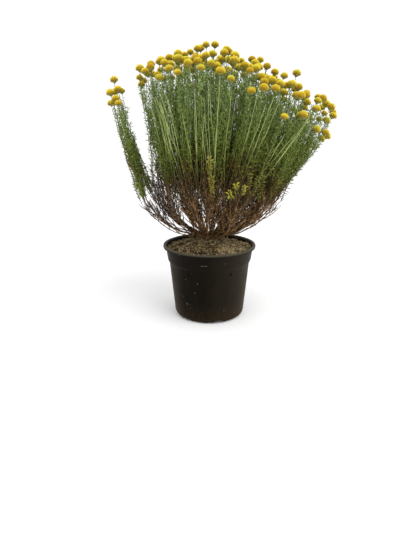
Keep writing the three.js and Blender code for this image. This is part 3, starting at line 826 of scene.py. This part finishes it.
# Limbs from the crown, five to a bough, or eight thin ones to a bough on the far left
FAR_LEFT, FAR_RIGHT = -110, 110
FEW_LIMBS, MANY_LIMBS = 5, 8
LIMB_RADII = (1.9, 1.3)
THIN_RADII = (1.3, 0.8)
LIMB_STEPS = 24
# How far apart in height the limbs of a bough bend, from the left of the plant to its right
LIMB_LIFT = ((-110, -100, 90, 120), (56, 0, 0, 16))
# Up to nine fine twigs on a limb, two more near the end of each limb of the bare bough, and twigs
# on twigs
TWIGS = 9
TWIG_STEP = 7
TWIG_FIRST, TIP_FIRST, FORK_FIRST = 300, 1200, 2000

lines, limbs = [], []
for i, bough in enumerate(boughs):
    feet = [spray["foot"] for spray in bough]
    middle = np.mean(feet, axis=0)
    far_left = middle[0] < FAR_LEFT
    wide = 22 if far_left or middle[0] > FAR_RIGHT else 42
    lift = np.interp(middle[0], *LIMB_LIFT)
    for k in range(MANY_LIMBS if far_left else FEW_LIMBS):
        n = i * MANY_LIMBS + k
        beside = middle + [play(n, 50, wide), play(n, 51, 40), play(n, 52, 16)]
        line = woody_line(np.array(feet[k] if k < len(feet) else beside))
        line[0] += [play(n, 53, 8), play(n, 54, 8), play(n, 55, 5)]
        line[1] += [play(n, 56, 12 if far_left else 24), play(n, 57, 24), play(n, 58, 6)]
        line[1][:2] *= 0.94
        line[1][2] += lift * ((k + draw(n, 59)) / MANY_LIMBS - 0.3)
        if far_left:
            line[1] += [-8, 0, -10]
        lines.append(line)
        ends = LIMB_RADII if k < BOUGH_SPRAYS and not far_left else THIN_RADII
        limbs.append((limb_points(line, LIMB_STEPS, 2.6, n), knotty(LIMB_STEPS, *ends, n)))
stout = grow_limbs("boughs", limbs, 1)
fine = []
for i, line in enumerate(lines):
    far_left = line[-1][0] < FAR_LEFT
    lengths = (16, 44) if far_left else (26, 74)
    for k in range(4 if far_left else 8 if line[-1][0] < -50 else TWIGS):
        n = TWIG_FIRST + i * TWIGS + k
        at = 0.36 + (k + draw(n, 63)) / 14 + 0.3 * far_left * draw(n, 65)
        fine.append(side_twig(line, at, n, lengths, 1.05, 0.3))
for i, line in enumerate(lines[-MANY_LIMBS:]):
    for k in range(2):
        n = TIP_FIRST + i * 3 + k
        fine.append(side_twig(line, 0.8 + 0.2 * draw(n, 63), n, (30, 52), 1.0, 0.5))
for i, (controls, _) in enumerate(list(fine)):
    for k in range(1 if controls[0][0] < -100 else 2):
        n = FORK_FIRST + 2 * i + k
        fine.append(side_twig(controls, 0.25 + 0.6 * draw(n, 64), n, (12, 34), 0.8, 0.3))
slender = grow_limbs("fine_twigs", [limb for _, limb in fine], 0)

crown = draw_rings(*CROWN_FOOT, CROWN_RINGS, 32)
for vertex in crown.data.vertices:
    x, y, z = vertex.co / MM
    ridges = 1 + 0.16 * math.sin(7 * math.atan2(y, x) + z * 0.08) * (z > 150)
    vertex.co.x *= ridges * 0.93
    vertex.co.y *= ridges * 0.93
wood = join_pieces([stout, slender, crown])
wood.name = "woody_base_wood"
select_only(wood)
bpy.ops.object.shade_smooth()


def bark_material():
    """Dry brown bark with a fine grain, weathered grey on the left."""
    material, tree, surface = new_material("dry_bark")
    place = own_place(tree)
    apart = axes(place)
    bark = mottled(place, 170.0, shade(28, 17, 8), shade(146, 112, 72), 4.5)
    grey = mottled(place, 170.0, shade(28, 20, 18), shade(132, 116, 108), 4.5)
    left = between(apart["X"], -0.05, -0.12)
    weathered = times(left, between(apart["Z"], 0.215, 0.26))
    coat(surface, blend(weathered, bark["Color"], grey["Color"]), 0.85, 0.2)
    grain = add(tree, "ShaderNodeTexNoise", {"Vector": place, "Scale": 700.0, "Detail": 2.0})
    roughen(surface, grain.outputs["Fac"], 0.5, 0.0006)
    return material


finish_piece(wood, ["woody_base"], bark_material())


def leaf_model():
    """A narrow leaf, one millimetre long, widest at its middle and pointed at both ends."""
    bpy.ops.mesh.primitive_cone_add(
        vertices=3, radius1=0.5 * MM, depth=0.5 * MM, location=(0, 0, 0.75 * MM)
    )
    piece = settle()
    for face in piece.data.polygons:
        face.select = face.normal.z < -0.9
    for item in [*piece.data.edges, *piece.data.vertices]:
        item.select = False
    bpy.ops.object.mode_set(mode="EDIT")
    bpy.ops.mesh.select_mode(type="FACE")
    bpy.ops.mesh.extrude_region_move(TRANSFORM_OT_translate={"value": (0, 0, -0.5 * MM)})
    bpy.ops.mesh.merge(type="CENTER")
    bpy.ops.object.mode_set(mode="OBJECT")
    return model_of(piece)


leaf = leaf_model()


def along(ends, t):
    return ends[0] + (ends[1] - ends[0]) * t


def place_leaves(controls, count, seed, width, radii, span, lengths, leans):
    """Leaves in a spiral along a curve, as places, ways, sides and sizes."""
    draws = np.random.default_rng(seed)
    t = span[0] + (span[1] - span[0]) * (np.arange(count) + draws.random(count)) / count
    angle = np.arange(count) * GOLDEN_ANGLE + draws.normal(0, 0.4, count) + seed
    out = outward(controls, t, angle)
    way = heading(controls, t)
    part = (t - span[0]) / (span[1] - span[0])
    lean = np.radians(along(leans, part) + draws.normal(0, 17, count))[:, None]
    places = on_curve(controls, t) + out * along(radii, t)[:, None] * 0.6
    ways = way * np.cos(lean) + out * np.sin(lean)
    length = along(lengths, part) * draws.uniform(0.65, 1.3, count)
    sizes = np.stack([width * draws.uniform(0.8, 1.2, count)] * 2 + [length], axis=1)
    return places, ways, out, sizes


def gather(parts):
    return [np.concatenate(column) for column in zip(*parts)]


def reach_of(curve):
    return np.linalg.norm(curve[-1] - curve[0])


# Old leaf stubs stand all along the twigs, and withered leaves hang on the upper ones: their
# length and how far apart they are by the height of the twig's tip, and both on the left
WITHERED = {"radii": (1.2, 0.8), "span": (0.12, 1), "leans": (65, 50)}
WITHERED_LENGTH = ((240, 285, 335), (2.6, 4, 8.5))
WITHERED_PITCH = ((240, 290, 325), (9, 6, 3.2))
LEFT_LENGTH, LEFT_PITCH = 3.4, 6
WITHERED_WIDTH = 1.3
WITHERED_FIRST = 5000

parts = []
for i, controls in enumerate(lines + [controls for controls, _ in fine]):
    tip = controls[-1]
    left = tip[0] < -90
    length = LEFT_LENGTH if left else np.interp(tip[2], *WITHERED_LENGTH)
    pitch = LEFT_PITCH if left else np.interp(tip[2], *WITHERED_PITCH)
    shape = {**WITHERED, "lengths": (length * 0.8, length)}
    count = int(reach_of(controls) / pitch)
    parts.append(place_leaves(controls, count, WITHERED_FIRST + i, WITHERED_WIDTH, **shape))
places, ways, sides, sizes = gather(parts)
points, triangles = copy_model(leaf, places, ways, sides, sizes)
tint = np.repeat(rng.random(len(places)), len(leaf[0]))
withered = make_mesh("woody_base_withered_leaves", points, triangles, {"tint": tint})


def withered_material():
    """Dead brown leaves, with some still olive and some bleached."""
    material, tree, surface = new_material("withered_leaf")
    tint = tag(tree, "tint")
    place = own_place(tree)
    across, height = axes(place)["X"], axes(place)["Z"]
    dry = mottled(place, 150.0, shade(30, 18, 8), shade(108, 78, 40), 4.0)
    low = times(between(height, 0.225, 0.25), between(height, 0.31, 0.28))
    fresh_left = times(between(across, -0.095, -0.12), low)
    high = between(height, 0.27, 0.34)
    high = times(high, between(across, -0.112, -0.1))
    alive = work_out("ADD", high, fresh_left)
    olive = times(between(tint, 0.4, 0.8), alive)
    bleached = times(between(tint, 0.24, 0.1), between(height, 0.35, 0.31))
    dull = blend(olive, dry["Color"], shade(98, 100, 44))
    coat(surface, blend(bleached, dull, shade(176, 152, 116)), 0.8, 0.2)
    return material


finish_piece(withered, ["woody_base"], withered_material())

# Sprays
# Each spray is a foot on the end of a twig, five or so green flowering stems that part just above
# it, their short side shoots, leafy shoots and pale spent stalks off the twigs beside it, and the
# narrow felted leaves on them all, which wither brown at the bottom.
SPRAY_FOOT_RADIUS = 3.1
TRUNK_RADII = (3.0, 2.9, 2.6, 2.0)
SIDE_SHORTENING = 60
HEAD_RADIUS = 8.9
STEM_LEAVES = 48
# Side shoots on a stem, and how many more on the left side of the main bush; leafy shoots beside a
# spray, and how many more at the plant's edge
SIDE_SHOOTS, DENSER = 7, 3
SHOOTS, EDGE_SHOOTS = 8, 6
STALKS = 96
STALK_LEAVES = 9
LEAF_WIDTH, ODD_LEAF_WIDTH = 2, 2.8
# Each kind of growth: its radii, and for its leaves from first to last where they stand along it,
# how long they are and how far they lean out
STEM = {"radii": (0.85, 0.55), "span": (0.05, 0.94), "lengths": (10, 8), "leans": (64, 52)}
SIDE_SHOOT = {"radii": (0.6, 0.4), "span": (0.06, 1), "lengths": (9, 7.5), "leans": (62, 50)}
SHOOT = {"radii": (0.9, 0.5), "span": (0.04, 1), "lengths": (10, 8), "leans": (64, 54)}
STALK = {"radii": (0.6, 0.5), "span": (0.3, 0.95), "lengths": (6, 4), "leans": (45, 35)}
ODD_SHOOT = {"radii": (1.0, 0.6), "span": (0.1, 1), "lengths": (6, 9), "leans": (70, 58)}
STALK_RADII = (0.54, 0.4)
# How far apart the points of the limbs are, and the leaves on the shoots
STEM_STEP, SIDE_STEP, STALK_STEP = 14, 12, 16
SIDE_PITCH, SHOOT_PITCH = 2, 2.7
# The numbers that each kind's draws start from
STEM_FIRST, SHOOT_FIRST, STALK_FIRST, ODD_FIRST, SIDE_FIRST = 900, 1500, 3000, 4000, 6000
# A foot further left than this is in the left bunch, whose leaves and side shoots are shorter
LEFT_BUNCH = -140
SHORT_LEAVES = 0.66
# How far right shoots reach, how far right side shoots keep their full length, and how far to the
# front stalks reach
RIGHT_REACH, RIGHT_ROOTS, FRONT_REACH = 252, 222, -146
# The left side of the main bush, which has more side shoots
DENSE_SIDE = (-130, -50)
# The stalks stand by feet in front of the first and between the others. They lean to the right by
# these degrees, from the left of the plant to its right
STALK_FRONT, STALK_LEFT, STALK_RIGHT = -25, -85, 80
STALK_LEANS = ([-100, -45, 0, 40, 70, 100], [-24, -16, -2, 18, 38, 44])
# The plant's left and right edges by height, which the stalks' tips stay inside
LEFT_EDGE = ((330, 560), (-112, -140))
RIGHT_EDGE = ((300, 340, 410, 560), (140, 176, 216, 176))
# Where the leaves turn green: this high above the floor, from the far left of the plant to its
# right
GREEN_FROM = ([-170, -128, -112, -40, 80, 160, 260], [285, 290, 350, 361, 357, 306, 290])
# Low shoots that stand out at the front: from near here, to here, and their leaves' age
ODD_SHOOTS = [
    ((2, -86, 296), (-2, -130, 386), 0.12),
    ((6, -86, 290), (3, -132, 348), 0.13),
    ((54, -92, 300), (40, -126, 318), 0.05),
    ((58, -92, 298), (54, -128, 334), 0.02),
    ((68, -90, 302), (70, -126, 330), 0.06),
    ((60, -90, 316), (62, -124, 360), 0.16),
    ((76, -88, 310), (80, -120, 354), 0.17),
    ((92, -80, 296), (100, -112, 346), 0.2),
    ((100, -74, 290), (112, -96, 350), 0.26),
    ((116, -64, 292), (134, -88, 342), 0.24),
    ((130, -46, 294), (154, -66, 350), 0.28),
    ((-160, -24, 286), (-160, -40, 326), 0.34),
    ((-168, -10, 286), (-172, -30, 334), 0.4),
    ((-160, -24, 330), (-180, -44, 378), 0.86),
    ((-156, -24, 326), (-172, -48, 366), 0.8),
]


def age_of(places, seed):
    """How old growth is at its places: 0.4 for green, up to 1 for withered below the green."""
    draws = np.random.default_rng(seed)
    edge = np.interp(places[:, 0], *GREEN_FROM) + draws.normal(0, 22)
    spread = draws.normal(0, 0.08, len(places))
    return np.clip(0.73 + (edge - places[:, 2]) / 140, 0.42, 1) + spread


def share(value, whole):
    return min(max(value / whole, 0), 1)


def shape_spray(spray, i):
    """Adds a spray's trunk and its stems, each with its curve, its head and the head's size."""
    rise = heading(woody_line(spray["foot"]), 1)
    foot = spray["foot"] + 0.3 * rise
    way = unit(np.mean(spray["heads"], axis=0) - foot)
    fork = foot + 3 * unit(rise + (way - rise) * 0.4)
    spray["trunk"] = bend_between(foot, rise, fork, way)
    spray["stems"] = []
    found = partings(spray["trunk"], spray["heads"], SPRAY_FOOT_RADIUS * 0.55, 0.22)
    for k, (item, start, leaving) in enumerate(found):
        n = i * MAIN_STEMS + k
        head = spray["heads"][item]
        way = unit(head - start)
        if not spray["fixed"][item]:
            less = SIDE_SHORTENING * share(head[0], HEADS["span"]) * draw(n, 4) ** 2
            head = head + way * (play(n, 3, 15) - less)
        curve = bend_between(start, leaving, head, unit(way + (UP - way) * 0.3))
        size = HEAD_RADIUS * (1 + play(n, 5, 0.12))
        spray["stems"].append({"n": n, "curve": curve, "size": size})


sprays = [spray for bough in boughs for spray in bough if spray["heads"]]
for i, spray in enumerate(sprays):
    shape_spray(spray, i)

# Points on the twigs that carry green, which leave out the bare bough on the left
live = [controls for controls, _ in fine if controls[0][0] > -95 or controls[-1][0] < -145]
twig_points = np.concatenate([on_curve(controls, np.linspace(0.3, 1, 12)) for controls in live])


def nearest(points, place):
    return points[np.argmin(np.linalg.norm(points - place, axis=1))]


def shoot_curve(spray, n):
    """A leafy shoot off a twig beside a spray, or off its own stem, up towards its heads."""
    apart = all(spray["fixed"])
    wide = 13 if apart else 24
    top = np.mean(spray["heads"], axis=0) + [play(n, 73, wide), play(n, 78, wide), 0]
    left_bunch = spray["foot"][0] < LEFT_BUNCH
    if left_bunch and n % 2:
        foot = on_curve(spray["stems"][n % len(spray["stems"])]["curve"], 0.4 * draw(n, 70))
    else:
        near = 12 if left_bunch else 26
        beside = spray["trunk"][-1] * [0.92, 0.92, 1]
        beside = beside + [play(n, 70, near), play(n, 71, near), play(n, 72, 12)]
        foot = nearest(twig_points, beside)
    side = 0 if apart else share(foot[0], 130)
    top += side * draw(n, 89) * np.array([20, 0, -16])
    tip = foot + (top - foot) * (0.3 + 0.6 * draw(n, 79) ** 0.7)
    tip[0] = min(tip[0], RIGHT_REACH)
    return bend_between(foot, unit(tip - foot + UP * 12), tip, unit(tip - foot + UP * 30))


def side_shoot(curve, t, n):
    """A short leafy shoot off a stem, which more often turns towards the middle of the plant."""
    root, way = on_curve(curve, t), heading(curve, t)
    out = outward(curve, t, draw(n, 86) * 2 * math.pi) - root * [1, 1, 0] / 110
    lean = math.radians(16 + 24 * draw(n, 87))
    leaving = unit(way * math.cos(lean) + unit(out) * math.sin(lean))
    length = (26 + 26 * draw(n, 88)) * (1.1 - 0.45 * t)
    length *= 1 if LEFT_BUNCH < root[0] < RIGHT_ROOTS else 0.5
    tip = root + unit(leaving + way * 0.4) * length
    return bend_between(root, leaving, tip, unit(leaving + way))


def stalk_curve(spray, n):
    """A spent flower stalk at the front, which leans out across the other stems."""
    beside = spray["trunk"][-1] + [play(n, 91, 22), play(n, 92, 10) - 8, play(n, 93, 14)]
    foot = nearest(twig_points, beside)
    lean = math.radians(np.interp(foot[0], *STALK_LEANS) + play(n, 75, 13))
    way = np.array([math.sin(lean), -0.13, math.cos(lean)])
    tip = foot + unit(way) * (120 + 110 * draw(n, 74))
    left = np.interp(tip[2], *LEFT_EDGE) + 40 * draw(n, 94)
    right = np.interp(tip[2], *RIGHT_EDGE) - 30 * draw(n, 95)
    tip[0] = np.clip(tip[0], left, right)
    tip[1] = max(tip[1], FRONT_REACH)
    return bend_between(foot, unit(way), tip, unit(way + UP * 0.15))


# The leaves' colour by their age, from yellow through green to withered brown
LEAF_AGES = [
    (0.0, (232, 222, 82)),
    (0.08, (206, 194, 70)),
    (0.125, (160, 132, 48)),
    (0.2, (146, 152, 56)),
    (0.42, (122, 146, 50)),
    (0.62, (122, 120, 40)),
    (0.82, (102, 82, 34)),
    (1.0, (60, 42, 21)),
]


def leaf_material():
    """Felted leaves: greyer up the plant, in darker and lighter clouds, with some in the sun."""
    material, tree, surface = new_material("felted_leaf")
    tint, age = tag(tree, "tint"), tag(tree, "age")
    place = own_place(tree)
    height = axes(place)["Z"]
    ages = add(tree, "ShaderNodeValToRGB", {"Fac": age})
    for k, (at, colour) in enumerate(LEAF_AGES):
        stop = ages.color_ramp.elements[k] if k < 2 else ages.color_ramp.elements.new(at)
        stop.position, stop.color = at, shade(*colour)
    grey = times(between(height, 0.4, 0.56, 0.0, 0.75), between(age, 0.6, 0.5))
    green = blend(grey, ages.outputs["Color"], shade(170, 206, 144))
    clouds = mottled(place, 22.0, shade(196, 196, 196), shade(255, 255, 245), 2.4)
    varied = blend(1.0, green, clouds["Color"], "MULTIPLY")
    shady = times(between(tint, 0.4, 0.0, 0.0, 0.5), between(age, 0.0, 0.3))
    dim = blend(shady, varied, shade(40, 52, 18))
    sunny = times(between(tint, 0.6, 0.95, 0.0, 0.85), between(age, 0.95, 0.6))
    pale = blend(between(age, 0.46, 0.62), shade(170, 184, 100), shade(192, 182, 78))
    coat(surface, blend(sunny, dim, pale), 0.65, 0.2)
    return material


def stem_material():
    """Stems: green, pale where they are spent stalks, brown at the bottom."""
    material, tree, surface = new_material("green_stem")
    age = tag(tree, "age")
    place = own_place(tree)
    young = mottled(place, 60.0, shade(74, 92, 40), shade(118, 134, 68), 2.0)
    stalk = blend(between(age, 0.36, 0.26), young["Color"], shade(178, 192, 122))
    old = mottled(place, 60.0, shade(50, 38, 20), shade(104, 84, 50), 2.4)
    aged = blend(between(age, 0.52, 0.72), stalk, old["Color"])
    coat(surface, aged, 0.6, 0.2)
    return material


stem_green = stem_material()
leaf_green = leaf_material()


def limb(curve, radii, step, n, wander=3.4):
    """A round limb along a curve, with a point at each step."""
    count = max(4, int(reach_of(curve) / step))
    return limb_points(curve, count, wander, n), np.linspace(*radii, count)


def age_piece(piece, seed, younger=0):
    """Gives green limbs their colour and the age of each point."""
    points = np.empty(3 * len(piece.data.vertices))
    piece.data.vertices.foreach_get("co", points)
    tag_points(piece, "age", age_of(points.reshape(-1, 3) / MM, seed) - younger)
    piece.data.materials.append(stem_green)
    return piece


feet = np.array([spray["foot"] for spray in sprays])
odd_sprays = [np.argmin(np.linalg.norm(feet - start, axis=1)) for start, _, _ in ODD_SHOOTS]
stalk_feet = [
    j for j, (x, y, _) in enumerate(feet) if y < STALK_FRONT and STALK_LEFT < x < STALK_RIGHT
]


def dress_spray(spray, i):
    """A spray's stems, shoots, stalks and leaves as one piece."""
    limbs = [(limb_points(spray["trunk"], 4, 0, i), TRUNK_RADII)]
    thin, stalks, rows, tints, ages = [], [], [], [], []
    short = SHORT_LEAVES if spray["foot"][0] < LEFT_BUNCH else 1

    def leave(curve, kind, count, n, tint, age=None, width=LEAF_WIDTH):
        kind = {**kind, "lengths": [length * short for length in kind["lengths"]]}
        rows.append(place_leaves(curve, count, n, width, **kind))
        tints.append(np.full(count, tint))
        ages.append(age_of(rows[-1][0], n) if age is None else np.full(count, age))

    for stem in spray["stems"]:
        n, curve = stem["n"], stem["curve"]
        limbs.append(limb(curve, STEM["radii"], STEM_STEP, n))
        leave(curve, STEM, STEM_LEAVES, STEM_FIRST + n, draw(n, 80))
        count = SIDE_SHOOTS + DENSER * (DENSE_SIDE[0] < curve[-1][0] < DENSE_SIDE[1])
        for k in range(count):
            item = SIDE_FIRST + n * 2 * SIDE_SHOOTS + k
            shoot = side_shoot(curve, 0.06 + 0.8 * (k + draw(item, 85)) / count, item)
            thin.append(limb(shoot, SIDE_SHOOT["radii"], SIDE_STEP, item))
            leave(shoot, SIDE_SHOOT, int(reach_of(shoot) / SIDE_PITCH), item, draw(item, 80))
    outer = min(np.hypot(*spray["foot"][:2]) / 110, 1) ** 2
    for k in range(SHOOTS + int(EDGE_SHOOTS * outer)):
        n = SHOOT_FIRST + i * 2 * SHOOTS + k
        curve = shoot_curve(spray, n)
        thin.append(limb(curve, SHOOT["radii"], STEM_STEP, n))
        leave(curve, SHOOT, int(reach_of(curve) / SHOOT_PITCH), n, draw(n, 83))
    for k in range(STALKS):
        if stalk_feet[k % len(stalk_feet)] == i:
            n, curve = STALK_FIRST + k, stalk_curve(spray, k)
            stalks.append(limb(curve, STALK_RADII, STALK_STEP, n, 2))
            leave(curve, STALK, STALK_LEAVES, n, 0.8)
    for k, (start, tip, age) in enumerate(ODD_SHOOTS):
        if i == odd_sprays[k]:
            n, foot = ODD_FIRST + k, nearest(twig_points, start)
            curve = bend_between(foot, unit(tip - foot), np.array(tip, float), UP)
            limbs.append(limb(curve, ODD_SHOOT["radii"], STEM_STEP, n))
            leave(curve, ODD_SHOOT, int(reach_of(curve)), n, 0.9, age, ODD_LEAF_WIDTH)
    stems = join_pieces([grow_limbs("stems", limbs, 1), grow_limbs("side_shoots", thin, 0)])
    pieces = [age_piece(stems, i)]
    if stalks:
        pieces.append(age_piece(grow_limbs("stalks", stalks, 0), i, 0.2))
    places, ways, sides, sizes = gather(rows)
    points, triangles = copy_model(leaf, places, ways, sides, sizes)
    tint = np.concatenate(tints) * 0.3 + np.random.default_rng(i).uniform(0, 0.7, len(places))
    values = {"tint": tint, "age": np.concatenate(ages)}
    values = {key: np.repeat(numbers, len(leaf[0])) for key, numbers in values.items()}
    leaves = make_mesh("leaves", points, triangles, values)
    leaves.data.materials.append(leaf_green)
    piece = join_pieces([*pieces, leaves])
    bpy.ops.object.shade_smooth()
    return piece


names = [f"spray_{i + 1:02d}" for i in range(len(sprays))]
for i, spray in enumerate(sprays):
    piece = dress_spray(spray, i)
    piece.name = names[i] + "_leaves"
    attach(piece, "root")
    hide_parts(names[i])

# Heads
# Each head is a golden button: a dome of some hundred tiny tubular florets, packed in spirals, on a
# shallow green cup at the top of its stem.
FLORETS = 92
FLORET_WIDTH = 0.3
# The florets cover the head to this angle from its top, and stand on a core inside it
DOME_ANGLE = 116
FLORET_REACH = 0.74
CORE_RADIUS = 0.78
HEAD_HEIGHT = 0.86
CUP_FOOT, CUP_DEPTH, CUP_PLACE = 0.16, 0.5, -0.52
# The core's height, and how far under the head it counts at least, so that it takes the painted
# shade of the lower half
CORE_HEIGHT, CORE_UNDER = 0.672, 0.66
HEAD_SIDES = 10
HEAD_FIRST = 700


def floret_model():
    """A small bud, one millimetre wide and long, pointed at its top."""
    bpy.ops.mesh.primitive_circle_add(vertices=4, radius=0.5 * MM, fill_type="NGON")
    edit_all()
    bpy.ops.mesh.extrude_region_move(TRANSFORM_OT_translate={"value": (0, 0, MM)})
    bpy.ops.mesh.merge(type="CENTER")
    bpy.ops.mesh.select_all(action="SELECT")
    bpy.ops.mesh.normals_make_consistent(inside=False)
    bpy.ops.object.mode_set(mode="OBJECT")
    return model_of(bpy.context.object)


def head_model():
    """A head of radius 1 mm with its axis up: its points, its triangles, and how far each point is
    from the top."""
    part = (np.arange(FLORETS) + 0.5) / FLORETS
    polar = np.arccos(1 - (1 - math.cos(math.radians(DOME_ANGLE))) * part)
    angle = np.arange(FLORETS) * GOLDEN_ANGLE
    ways = [np.sin(polar) * np.cos(angle), np.sin(polar) * np.sin(angle), np.cos(polar)]
    ways = np.stack(ways, axis=1)
    flat = np.array([1, 1, HEAD_HEIGHT])
    sizes = [np.full(FLORETS, FLORET_WIDTH)] * 2 + [0.26 + 0.1 * np.sin(7 * angle)]
    sizes = np.stack(sizes, axis=1)
    places = ways * FLORET_REACH * flat
    buds = copy_model(floret_model(), places, ways, np.roll(ways, 1, axis=1), sizes)
    bpy.ops.mesh.primitive_uv_sphere_add(
        segments=HEAD_SIDES, ring_count=7, radius=CORE_RADIUS * MM
    )
    core = model_of(bpy.context.object)
    core = core[0] * flat, core[1]
    bpy.ops.mesh.primitive_cone_add(
        vertices=HEAD_SIDES,
        radius1=CUP_FOOT * MM,
        radius2=CORE_RADIUS * MM,
        depth=CUP_DEPTH * MM,
        location=(0, 0, CUP_PLACE * MM),
    )
    cup = model_of(settle())
    points = np.concatenate([buds[0], core[0], cup[0]])
    ends = [0, len(buds[0]), len(buds[0]) + len(core[0])]
    triangles = np.concatenate([form[1] + end for form, end in zip((buds, core, cup), ends)])
    under = [
        np.repeat(polar / math.pi, len(buds[0]) // FLORETS),
        np.maximum(CORE_UNDER, np.arccos(core[0][:, 2] / CORE_HEIGHT) / math.pi),
        np.full(len(cup[0]), 1.0),
    ]
    return points, triangles, np.concatenate(under)


head = head_model()


def head_material():
    """Gold florets, greener or browner from head to head, with painted shade on their lower half
    and on the core between them, on a green cup.
    """
    material, tree, surface = new_material("golden_floret")
    tint, under = tag(tree, "tint"), tag(tree, "under")
    gold = mottled(own_place(tree), 360.0, shade(236, 196, 30), shade(255, 248, 96), 3.0)
    old = between(tint, 0.6, 1.0, 0.0, 0.7)
    colour = blend(old, gold["Color"], shade(206, 168, 40))
    young = between(tint, 0.35, 0.0, 0.0, 0.7)
    colour = blend(young, colour, shade(214, 216, 76))
    # Painted shade: the lower half of each head, and the core between the florets, darker ochre.
    colour = blend(between(under, 0.32, 0.64), colour, shade(172, 136, 28))
    colour = blend(between(under, 0.8, 0.9), colour, shade(120, 130, 70))
    coat(surface, colour, 0.7, 0.15)
    return material


golden = head_material()
for i, spray in enumerate(sprays):
    curves = [stem["curve"] for stem in spray["stems"]]
    places = np.array([curve[-1] for curve in curves])
    ways = np.array([heading(curve, 1) for curve in curves])
    radii = np.array([stem["size"] for stem in spray["stems"]])[:, None] * np.ones(3)
    sides = np.random.default_rng(HEAD_FIRST + i).normal(size=ways.shape)
    points, triangles = copy_model(head[:2], places, ways, sides, radii)
    tint = [draw(stem["n"], 90) for stem in spray["stems"]]
    values = {"tint": np.repeat(tint, len(head[0])), "under": np.tile(head[2], len(curves))}
    piece = make_mesh(names[i] + "_heads", points, triangles, values)
    select_only(piece)
    bpy.ops.object.shade_smooth()
    finish_piece(piece, [names[i]], golden)

# Studio
# A pale floor that runs out of sight, a bright even sky, and one large soft lamp above and in
# front.
bpy.ops.mesh.primitive_plane_add(size=12)
floor = bpy.context.object
floor.name = "floor"
paper, _, paper_surface = new_material("pale_floor")
paper_surface.inputs["Base Color"].default_value = (0.94, 0.94, 0.94, 1)
paper_surface.inputs["Roughness"].default_value = 0.9
floor.data.materials.append(paper)

world = bpy.data.worlds.new("studio")
world.use_nodes = True
sky = world.node_tree.nodes["Background"]
sky.inputs["Color"].default_value = (1, 1, 1, 1)
sky.inputs["Strength"].default_value = 1.06
bpy.context.scene.world = world

bpy.ops.object.light_add(type="AREA", location=(0.8, -0.8, 2.1))
lamp = bpy.context.object
lamp.data.shape = "DISK"
lamp.data.size = 1.6
lamp.data.energy = 22
lamp.rotation_euler = (Vector((0, 0, 0.4)) - lamp.location).to_track_quat("-Z", "Y").to_euler()
bpy.context.scene.view_settings.view_transform = "Standard"
